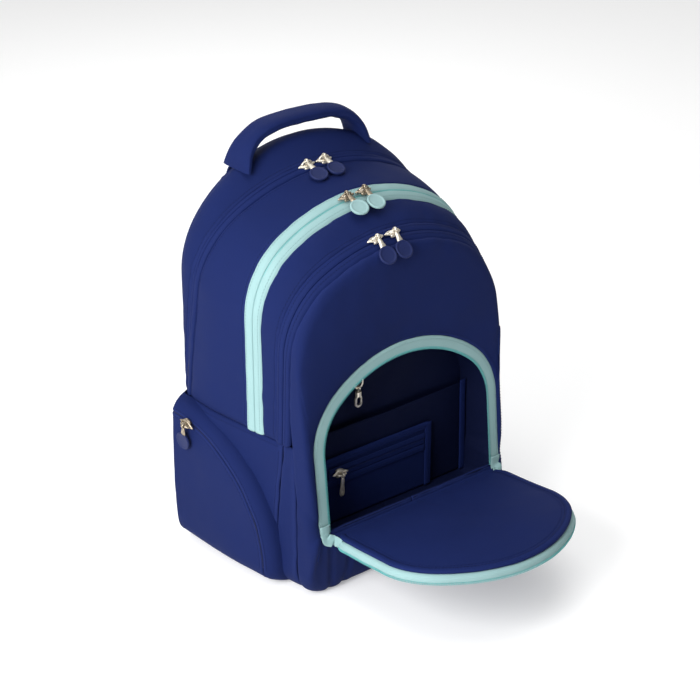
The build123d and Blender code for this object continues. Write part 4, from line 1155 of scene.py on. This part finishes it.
side_turn = radians(12)
side_out = np.array([-cos(SIDE_SLANT), -sin(SIDE_SLANT), 0])
side_along = np.array([-sin(SIDE_SLANT), cos(SIDE_SLANT), 0])
side_start = side_point(SIDE_CENTRE[0] - SIDE_ZIP_RADIUS * sin(side_turn),
                        SIDE_CENTRE[1] + SIDE_ZIP_RADIUS * cos(side_turn), SIDE_DEPTH + 1.2 * MM, -1)
side_seat = seat_at(side_start, -side_along * cos(side_turn) - np.array([0, 0, 1]) * sin(side_turn), side_out)
flap_seat = seat_at(flap_origin + np.array([FLAP_ARCH.half_width + 2.75 * MM, 0, 0]) + flap_along * 20 * MM
                    + flap_out * 12.3 * MM, flap_along, flap_out)
inner_seat = seat_at((-62 * MM, -59.3 * MM, 115 * MM), (1, 0, 0), (0, -1, 0))

# name, seat, forward shift of the bridge, droop of the pull, tab metal, disc rubber
HARDWARE = [("side_left", side_seat, 0.0, 6, "antique_metal", "navy_rubber", False),
            ("side_right", side_seat, 0.0, 6, "antique_metal", "navy_rubber", True),
            ("flap", flap_seat, 0.0, -90, "silver_metal", "aqua_rubber", False),
            ("inner", inner_seat, 0.0, 4, "silver_metal", None, False)]
for zip_name, line, shift, droop, metal_name, rubber in (
    ("rear", REAR_ZIP, 0.0, 10, "silver_metal", "navy_rubber"),
    ("middle", MIDDLE_ZIP, 2 * MM, 26, "antique_metal", "aqua_rubber"),
    ("front", FRONT_ZIP, 4 * MM, 46, "silver_metal", "navy_rubber"),
):
    HARDWARE.append((f"{zip_name}_left", arch_seat(line, -22 * MM), shift, droop, metal_name, rubber, False))
    HARDWARE.append((f"{zip_name}_right", arch_seat(line, 0.0), shift, droop, metal_name, rubber, False))

for name, seat, shift, droop, metal_name, rubber, mirrored in HARDWARE:
    solid_piece(f"{name}_slider_body", slider_grids(seat, shift, mirrored), f"{name}_slider", metal_name,
                nodes=[f"{name}_slider"])
    hang = pull_seat(seat, shift, droop)
    solid_piece(f"{name}_pull_tab", tab_grids(hang, rubber is not None, mirrored), f"{name}_pull", metal_name,
                nodes=[f"{name}_pull"])
    if rubber:
        solid_piece(f"{name}_pull_disc", disc_grids(hang, mirrored), f"{name}_pull", rubber)


def squared_circle(count, across, above):
    """Circle of points pressed by two powers towards a rounded rectangle."""
    turns = np.linspace(0, 2 * pi, count, endpoint=False)
    return np.stack([np.sign(v) * np.abs(v) ** power for v, power in ((np.cos(turns), across),
                                                                    (np.sin(turns), above))], axis=-1)


# ------------------------------------------------------------------ carry handle
HANDLE_X = -3 * MM
HANDLE_Y = 84 * MM


def handle_path(count):
    """Middle line of the handle, from the left foot over the top to the right foot."""
    t = np.linspace(-1, 1, count)
    x = 80 * MM * np.sin(t * 1.35) / sin(1.35)
    z = 464.5 * MM - 42 * MM * np.abs(t) ** 2.9
    return t, np.stack([HANDLE_X + x, np.full(count, HANDLE_Y), z], axis=-1)


share, spine = handle_path(64)
foot_share = np.clip((np.abs(share) - 0.55) / 0.45, 0, 1)
half_width = (15.5 + 8.5 * foot_share**1.5) * MM
half_height = (6.8 - 2.6 * foot_share**2) * MM
unit = squared_circle(28, 0.8, 0.8)
profile = unit[None] * np.stack([half_width, half_height], axis=-1)[:, None]
handle_grid = ribbon(spine, (0, 0, 1), profile)
outward = handle_grid - spine[:, None]
outward /= np.linalg.norm(outward, axis=-1, keepdims=True)
underside = np.clip(-unit[None, :, 1], 0, 1)
wrinkle = 1.1 * MM * noise_at(handle_grid * (1, 0.25, 1), 9 * MM, 121) * (0.3 + 0.9 * underside)
slow = 1.2 * MM * noise_at(handle_grid, 30 * MM, 122)
side_seam = -1.1 * MM * np.exp(-((unit[None, :, 1] - 0.05) / 0.16) ** 2)
handle_grid = handle_grid + outward * (wrinkle + slow + side_seam)[..., None]
handle_made = grid_object("carry_handle_cloth", handle_grid, close_columns=True)
face_outward(handle_made, (HANDLE_X, HANDLE_Y, 0.45))
thicken(handle_made, 0)
dress(handle_made, None, "navy_fabric", nodes=["carry_handle", "handle_core"])
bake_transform(handle_made)

# ------------------------------------------------------------------ back pads, straps and webbing


def pad_points(outline, y_at, thickness, seed, channel=0.0):
    """Grid of a stuffed pad over an outline of (x, z): crowned outside, flat where it rests."""
    outline = np.asarray(outline, float)
    centre = outline.mean(axis=0)
    shares = [(1.0, 0.0), (1.0, 0.25), (0.985, 0.6), (0.95, 0.82), (0.88, 0.94),
              *((size, 1.0) for size in (0.76, 0.6, 0.44, 0.28, 0.12, 0.01))]
    rows = []
    for size, rise in shares:
        flat = centre + (outline - centre) * size
        plain = np.column_stack([flat[:, 0], np.zeros(len(flat)), flat[:, 1]])
        lump = 1 + 0.16 * noise_at(plain, 34 * MM, seed)
        groove = channel * np.exp(-((flat[:, 0] - centre[0]) / (3 * MM)) ** 2) if size < 0.8 else 0.0
        rows.append(np.column_stack([flat[:, 0], y_at(flat) + thickness * rise * lump - groove, flat[:, 1]]))
    return np.stack(rows, axis=1)


def even_outline(points, count):
    """Evenly spaced points round a closed outline whose first point is repeated at its end."""
    run = run_length(points)
    marks = np.linspace(0, run[-1], count, endpoint=False)
    return np.column_stack([np.interp(marks, run, points[:, k]) for k in (0, 1)])


def rounded_box(x, z, width, height, corner, step=5 * MM):
    """Outline of a rounded rectangle, in even steps."""
    points = []
    for sx, sz, start in ((1, 1, 0), (-1, 1, 90), (-1, -1, 180), (1, -1, 270)):
        for turn in np.radians(np.linspace(start, start + 90, 7)):
            points.append((x + sx * (width / 2 - corner) + corner * cos(turn),
                           z + sz * (height / 2 - corner) + corner * sin(turn)))
    points.append(points[0])
    points = np.array(points)
    return even_outline(points, ceil(run_length(points)[-1] / step))


PAD_REST_Y = 100.4 * MM
for name, (x, z, width, height, corner) in {
    "left": (-54, 244, 88, 252, 26), "right": (54, 244, 88, 252, 26), "lumbar": (0, 76, 190, 62, 24),
}.items():
    outline = rounded_box(*(MM * v for v in (x, z, width, height, corner)))
    grid = pad_points(outline, lambda flat: PAD_REST_Y, 8.6 * MM, 131 + len(name), 0.0)
    pad = cloth(f"back_pad_{name}", grid, (0, 0.02, 0.2), 0, "root", "mesh_fabric",
                ["back_pads"] if name == "left" else (), welded=True, close_rows=True)
    welt = np.column_stack([outline[:, 0], np.full(len(outline), PAD_REST_Y + 0.6 * MM), outline[:, 1]])
    piping = ribbon(np.concatenate([welt, welt[:1]]), (0, 1, 0), round_profile(1.6 * MM, 1.6 * MM, 8))
    solid_piece(f"back_pad_{name}_piping", [piping], "root", "navy_binding")


def smooth_row(values, count):
    """Smooth curve through a few values, evenly spaced in its own parameter."""
    values = np.asarray(values, float)
    knots = np.linspace(0, 1, len(values))
    t = np.linspace(0, 1, count)
    tangents = np.gradient(values, knots, axis=0)
    index = np.clip(np.searchsorted(knots, t, "right") - 1, 0, len(values) - 2)
    width = knots[1] - knots[0]
    u = ((t - knots[index]) / width)[:, None]
    a, b = values[index], values[index + 1]
    ta, tb = tangents[index] * width, tangents[index + 1] * width
    return ((2 * u**3 - 3 * u**2 + 1) * a + (u**3 - 2 * u**2 + u) * ta + (3 * u**2 - 2 * u**3) * b
            + (u**3 - u**2) * tb)


# Height, outer edge x, inner edge x and inner surface y of the padded strap at its rows
STRAP_ROWS = MM * np.array([
    (400, -74, -18, 120), (362, -82, -24, 131), (320, -92, -34, 138), (278, -104, -48, 139.5),
    (235, -113, -60, 138), (192, -114, -68, 130), (150, -113, -73, 119),
])
STRAP_THICKNESS = 12 * MM
FLAT_WEB = MM * np.array([
    (-12.5, -0.7), (-12.5, 0.5), (-11.5, 0.9), (0, 1.0), (11.5, 0.9), (12.5, 0.5), (12.5, -0.7),
])
for side, sign in STRAP_SIDES:
    rows = smooth_row(STRAP_ROWS, 70)
    middle = np.column_stack([sign * (rows[:, 1] + rows[:, 2]) / 2, rows[:, 3] + STRAP_THICKNESS / 2,
                              rows[:, 0]])
    half = (rows[:, 2] - rows[:, 1]) / 2
    run = run_length(middle)
    ends = np.clip(np.minimum(run, run[-1] - run) / (9 * MM), 0, 1)
    full = np.sqrt(np.clip(1 - (1 - ends) ** 2, 0.0, 1))
    unit = squared_circle(36, 0.45, 0.75)
    size = np.stack([half, STRAP_THICKNESS / 2 * (0.25 + 0.75 * full)], axis=-1)
    up = np.gradient(middle, axis=0)
    up = np.cross(up, (1, 0, 0))
    _, across, above = frames_along(middle, up)
    above *= np.sign(above[:, 1:2])
    across = np.broadcast_to((1.0, 0, 0), across.shape)
    grid = (middle[:, None] + unit[None, :, :1] * size[:, None, :1] * across[:, None]
            + unit[None, :, 1:] * size[:, None, 1:] * above[:, None])
    away = grid - middle[:, None]
    away /= np.maximum(np.linalg.norm(away, axis=-1, keepdims=True), 1e-9)
    lump = 0.9 * MM * noise_at(grid, 26 * MM, 141) + 0.45 * MM * noise_at(grid * (1, 1, 0.4), 8 * MM, 142)
    edge_groove = (-0.8 * MM * np.exp(-((np.abs(unit[None, :, 0]) - 0.86) / 0.06) ** 2)
                   * (unit[None, :, 1] > 0))
    grid = grid + away * (lump + edge_groove)[..., None]
    grid = np.concatenate([middle[:1, None] + (grid[:1] - middle[:1, None]) * 0.02, grid,
                           middle[-1:, None] + (grid[-1:] - middle[-1:, None]) * 0.02])
    strap = cloth(f"shoulder_strap_{side}_cloth", grid, (sign * -0.07, 0.138, 0.27), 0, f"strap_{side}",
                  "navy_fabric", [f"shoulder_strap_{side}"], close_columns=True)
    # Webbing sewn down the middle of the strap, through the ladder lock and down to the corner tab
    web_rows = rows[8:68]
    web_line = np.column_stack([sign * (web_rows[:, 1] + web_rows[:, 2]) / 2, web_rows[:, 3] + STRAP_THICKNESS
                                + 0.7 * MM, web_rows[:, 0]])
    web = ribbon(web_line, (0, 1, 0), FLAT_WEB)
    cloth(f"strap_{side}_sewn_webbing", web, (0, 0.1, 0.25), 0.5 * MM, f"strap_{side}", "webbing")
    loose = smooth_row(MM * np.array([(-93, 129, 135), (-95, 127, 126), (-100, 123, 112), (-112, 115, 82),
                                      (-125, 106, 50)]), 40) * (sign, 1, 1)
    web = ribbon(loose, (0, 1, 0.2), FLAT_WEB)
    web[..., 1] += 0.5 * MM * noise_at(web, 20 * MM, 143)
    cloth(f"strap_{side}_lower_webbing", web, (0, 0.05, 0.1), 0.9 * MM, f"strap_{side}", "webbing",
          [f"strap_webbing_{side}"])
    tab_rows = MM * np.array([(-46, 104, 420), (-46, 112, 419), (-46, 122, 408), (-46, 127, 396)])
    tab_line = smooth_row(tab_rows, 24)
    tab = ribbon(tab_line * (sign, 1, 1), (0, 1, 0.6), FLAT_WEB * (1.9, 1.6))
    made = cloth(f"strap_{side}_upper_tab", tab, (0, 0.08, 0.38), 1.4 * MM, None, "navy_fabric")
    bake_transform(made)

for side, sign in STRAP_SIDES:
    patch = rounded_box(sign * -46 * MM, 411 * MM, 58 * MM, 20 * MM, 4 * MM, 4 * MM)
    grid = pad_points(patch, lambda flat: PAD_REST_Y - 1 * MM, 3.4 * MM, 151)
    cloth(f"strap_anchor_{side}_patch", grid, (0, 0.05, 0.4), 0, "root", "navy_fabric",
          ["strap_anchors"] if side == "left" else (), close_rows=True)
    corner = MM * np.array([
        (-141, 20), (-141, 46), (-138, 50), (-112, 50), (-109, 46), (-125, 33), (-134, 22), (-141, 20),
    ])
    outline = even_outline(corner, 40) * (sign, 1)
    grid = pad_points(outline, lambda flat: PAD_REST_Y - 2 * MM, 4.4 * MM, 152)
    cloth(f"strap_corner_{side}_tab", grid, (0, 0.05, 0.03), 0, "root", "navy_fabric", close_rows=True)

# ------------------------------------------------------------------ curled tape ends by the flap's hinge
for side, sign in SIDES:
    mouth_end = zip_point(POCKET_ZIP, sign * 3.97, 1 * MM, -6 * MM)
    skirt_end = skirt_points[0 if sign < 0 else -1, 3]
    inward, down, forward = np.array([-sign, 0, 0]), np.array([0, 0, -1]), np.array([0, -1, 0])
    way = np.array([
        mouth_end + (0, 0, 10 * MM), mouth_end, mouth_end + MM * (5 * down + 3 * forward),
        (mouth_end + skirt_end) / 2 + MM * (4 * down + 2 * inward),
        skirt_end + MM * (-7 * forward + 1.5 * down),
        skirt_end, skirt_end + MM * 7 * forward,
    ])
    facing = np.array([forward, forward, forward + 0.3 * inward, 0.5 * forward - 0.5 * inward - 0.3 * down,
                       -inward, -inward, -inward], float)
    line = smooth_row(way, 40)
    up = smooth_row(facing, 40)
    flat_tape = MM * np.array([(-6.3, -0.3), (-5.4, 0.5), (-2, 0.9), (2, 0.9), (5.4, 0.5), (6.3, -0.3)])
    grid = ribbon(line, up, flat_tape)
    made = cloth(f"tape_curl_{side}", grid, (0, -0.06, 0.12), 0.8 * MM, None, "aqua_tape", offset=0.0)
    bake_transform(made)


# ------------------------------------------------------------------ sewing
def draped(points, outward, *targets, lift=0.1 * MM):
    """Points moved along their outward directions onto the first of the finished cloths below them."""
    graph = bpy.context.evaluated_depsgraph_get()
    trees = [BVHTree.FromObject(bpy.data.objects[target], graph) for target in targets]
    outward = np.broadcast_to(outward, points.shape)
    outward = outward / np.linalg.norm(outward, axis=1, keepdims=True)
    rows = []
    for point, way in zip(points, outward):
        start, way = Vector(point + way * 12 * MM), Vector(way)
        hits = [hit for hit in (tree.ray_cast(start, -way, 26 * MM) for tree in trees) if hit[0]]
        if hits:
            nearest = min(hits, key=lambda hit: hit[3])
            rows.append((*(nearest[0] + way * lift), *way))
    return np.array(rows)[:, :3], np.array(rows)[:, 3:]


def sewn_beside(line, offset, *targets):
    """Sewing line on the shell, at a distance in front of a zip line."""
    s = even_steps(lambda v: zip_point(line, v), -2.97, 2.97, 3 * MM)
    points = shell_point(s, on_plane(s, beside(line, offset)))
    return draped(points, outward_of(line, s), *targets)


thread_lines = [sewn_beside(line, offset, target) for line, offset, target in (
    (REAR_ZIP, REAR_BAND[1] + 4 * MM, "middle_gusset_cloth"),
    (REAR_ZIP, REAR_BAND[0] - 4 * MM, "rear_gusset_cloth"),
    (MIDDLE_ZIP, MIDDLE_BAND[1] + 3.6 * MM, "front_gusset_cloth"),
    (MIDDLE_ZIP, MIDDLE_BAND[0] - 3.6 * MM, "middle_gusset_cloth"),
    (FRONT_ZIP, FRONT_BAND[0] - 3.6 * MM, "front_gusset_cloth"),
    (FRONT_ZIP, 4.6 * MM, "front_zip_tape"),
    (FRONT_ZIP, -4.6 * MM, "front_zip_tape"),
)]
stitches("gusset_stitches", thread_lines, "root", "navy_thread")
stitches("middle_zip_stitches",
         [sewn_beside(MIDDLE_ZIP, offset, "middle_zip_tape") for offset in (-8 * MM, 8 * MM)],
         "root", "aqua_thread")

mouth = even_steps(lambda v: zip_point(POCKET_ZIP, v), -4, 4, 3 * MM)
facing = zip_point(POCKET_ZIP, 0.0, 1.0) - zip_point(POCKET_ZIP, 0.0)
for name, outward, target, thread in (
    ("pocket_mouth_stitches", 4.5 * MM, "front_panel_cloth", "navy_thread"),
    ("pocket_tape_stitches", -3 * MM, "pocket_zip_tape", "aqua_thread"),
):
    stitches(name, [draped(zip_point(POCKET_ZIP, mouth, 0, outward), facing, target)], "root", thread)

seam_lines = []
for side, sign in SIDES:
    depth = np.linspace(-56 * MM, 92 * MM, 60)
    level = np.full(60, 3.0)
    x, _ = arch_point(section(depth), level, SEAM_Z, 0.0, FOOT_RADIUS)
    points = np.column_stack([sign * x, depth, np.full(60, SEAM_Z - 5 * MM)])
    seam_lines.append(draped(points, (sign, 0, 0), "lower_body_cloth"))
    height = np.linspace(34 * MM, 168 * MM, 56)
    points = np.column_stack([np.full(56, sign * 0.15), seam_a(height) + 4.5 * MM, height])
    seam_lines.append(draped(points, (sign, 0, 0), "lower_body_cloth"))
    turn = np.linspace(0.03, pi / 2, 80)
    for radius in (SIDE_ZIP_RADIUS + 4 * MM, SIDE_ZIP_RADIUS - 4 * MM):
        along, z = side_outline(turn, radius)
        points = side_point(along, z, 12 * MM, sign)
        seam_lines.append(draped(points, (sign, 0, 0), f"side_pocket_{side}_cloth"))
stitches("side_stitches", seam_lines, "root", "navy_thread")

for name, inset, way, target in (
    ("flap_inner_stitches", 10.5 * MM, -flap_out, "flap_inner_face"),
    ("flap_outer_stitches", 10.5 * MM, flap_out, "flap_outer_face"),
    ("flap_binding_stitches", 5.6 * MM, -flap_out, "flap_binding_tape"),
):
    stitches(name, [draped(flap_rim(inset, 0.0, 83, 0.0), way, target)], "flap", "navy_thread")

inner_rows = []
for low, high in (((-77, 130), (63, 130)), ((-77, 103.5), (58, 103.5)), ((64.5, 132), (64.5, 56))):
    share = np.linspace(0, 1, 50)[:, None]
    flat = MM * (np.array(low) * (1 - share) + np.array(high) * share)
    points = np.column_stack([flat[:, 0], np.full(50, -60 * MM), flat[:, 1]])
    inner_rows.append(draped(points, (0, -1, 0), "zip_pocket_top_binding", "zip_pocket_low_binding",
                             "zip_pocket_right_binding"))
stitches("inner_pocket_stitches", inner_rows, "root", "navy_thread", pitch=3 * MM, length=2.1 * MM)

for side, sign in STRAP_SIDES:
    lines = []
    for edge_share in (0.12, 0.88):
        rows = smooth_row(STRAP_ROWS, 70)[4:66]
        x = sign * (rows[:, 1] * (1 - edge_share) + rows[:, 2] * edge_share)
        points = np.column_stack([x, rows[:, 3] + STRAP_THICKNESS, rows[:, 0]])
        lines.append(draped(points, (0, 1, 0), f"shoulder_strap_{side}_cloth"))
    stitches(f"strap_{side}_stitches", lines, f"strap_{side}", "navy_thread")

# ------------------------------------------------------------------ carried-over CAD pieces
for node_name, material in {
    "clip_ring": "silver_metal", "clip_swivel": "silver_metal", "clip_hook": "silver_metal",
    "clip_gate": "silver_metal", "clip_loop": "navy_binding", "ladder_lock_left": "black_plastic",
    "ladder_lock_right": "black_plastic", "base_board": "board_plastic", "back_foam": "foam",
    "rear_divider": "navy_lining", "middle_divider": "navy_lining",
}.items():
    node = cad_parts[node_name]
    node.data.materials.clear()
    node.data.materials.append(MATERIALS[material])
    if material in ("silver_metal", "black_plastic"):
        soften = node.modifiers.new("soft edges", "BEVEL")
        soften.width = 0.35 * MM
        soften.segments = 3
        soften.limit_method = "ANGLE"
        soften.harden_normals = True

# ------------------------------------------------------------------ floor, camera and light
TARGET = Vector((0, 5.2 * MM, 206.4 * MM))
CAMERA_AZIMUTH = radians(-38.19)
CAMERA_HEIGHT = radians(26.53)
CAMERA_DISTANCE = 1.896
CAMERA_LENS = 89.2
CAMERA_SHIFT = (3.38 / 700, 8.58 / 700)
FLOOR_HALF = 30


def placed_in_scene(name, data):
    made = bpy.data.objects.new(name, data)
    bpy.context.scene.collection.objects.link(made)
    return made


def aimed(name, data, azimuth, elevation, distance):
    """Object seen from the target at an azimuth, elevation and distance, and turned to the target."""
    made = placed_in_scene(name, data)
    made.location = TARGET + distance * Vector(
        (sin(azimuth) * cos(elevation), -cos(azimuth) * cos(elevation), sin(elevation))
    )
    made.rotation_mode = "QUATERNION"
    made.rotation_quaternion = (TARGET - made.location).to_track_quat("-Z", "Y")
    return made


floor_corners = [(x * FLOOR_HALF, y * FLOOR_HALF, 0) for x, y in ((-1, -1), (1, -1), (1, 1), (-1, 1))]
floor_mesh = bpy.data.meshes.new("floor")
floor_mesh.from_pydata(floor_corners, [], [(0, 1, 2, 3)])
floor = placed_in_scene("floor", floor_mesh)
floor_material, _, floor_shader = shader_tree("floor")
floor_shader.inputs["Base Color"].default_value = (0.8, 0.8, 0.8, 1)
floor_shader.inputs["Roughness"].default_value = 0.9
floor_shader.inputs["Emission Color"].default_value = (1, 1, 1, 1)
floor_shader.inputs["Emission Strength"].default_value = 0.3
floor_mesh.materials.append(floor_material)

camera_data = bpy.data.cameras.new("camera")
camera_data.sensor_width = 36
camera_data.lens = CAMERA_LENS
camera_data.shift_x, camera_data.shift_y = CAMERA_SHIFT
camera = aimed("camera", camera_data, CAMERA_AZIMUTH, CAMERA_HEIGHT, CAMERA_DISTANCE)
bpy.context.scene.camera = camera


def area_light(name, azimuth, elevation, distance, size, power):
    data = bpy.data.lights.new(name, "AREA")
    data.shape = "DISK"
    data.size = size
    data.energy = power
    aimed(name, data, radians(azimuth), radians(elevation), distance)


area_light("key", -72, 26, 1.3, 0.8, 19)
area_light("top", -30, 80, 1.7, 1.3, 10)
area_light("rim", 150, 35, 2.0, 1.0, 8)

world = bpy.data.worlds.new("studio")
world.use_nodes = True
world_tree = world.node_tree
background = world_tree.nodes["Background"]
background.inputs["Color"].default_value = (1, 1, 1, 1)
towards = world_tree.nodes.new("ShaderNodeVectorMath")
towards.operation = "DOT_PRODUCT"
towards.inputs[1].default_value = (-0.55, 0.8, 0.25)
world_tree.links.new(world_tree.nodes.new("ShaderNodeTexCoord").outputs["Generated"], towards.inputs[0])
fall = world_tree.nodes.new("ShaderNodeMapRange")
fall.interpolation_type = "SMOOTHSTEP"
for socket, value in zip(("From Min", "From Max", "To Min", "To Max"), (-0.7, 0.5, 0.14, 0.75)):
    fall.inputs[socket].default_value = value
world_tree.links.new(towards.outputs["Value"], fall.inputs["Value"])
world_tree.links.new(fall.outputs[0], background.inputs["Strength"])
bpy.context.scene.world = world
bpy.context.scene.view_settings.view_transform = "Standard"
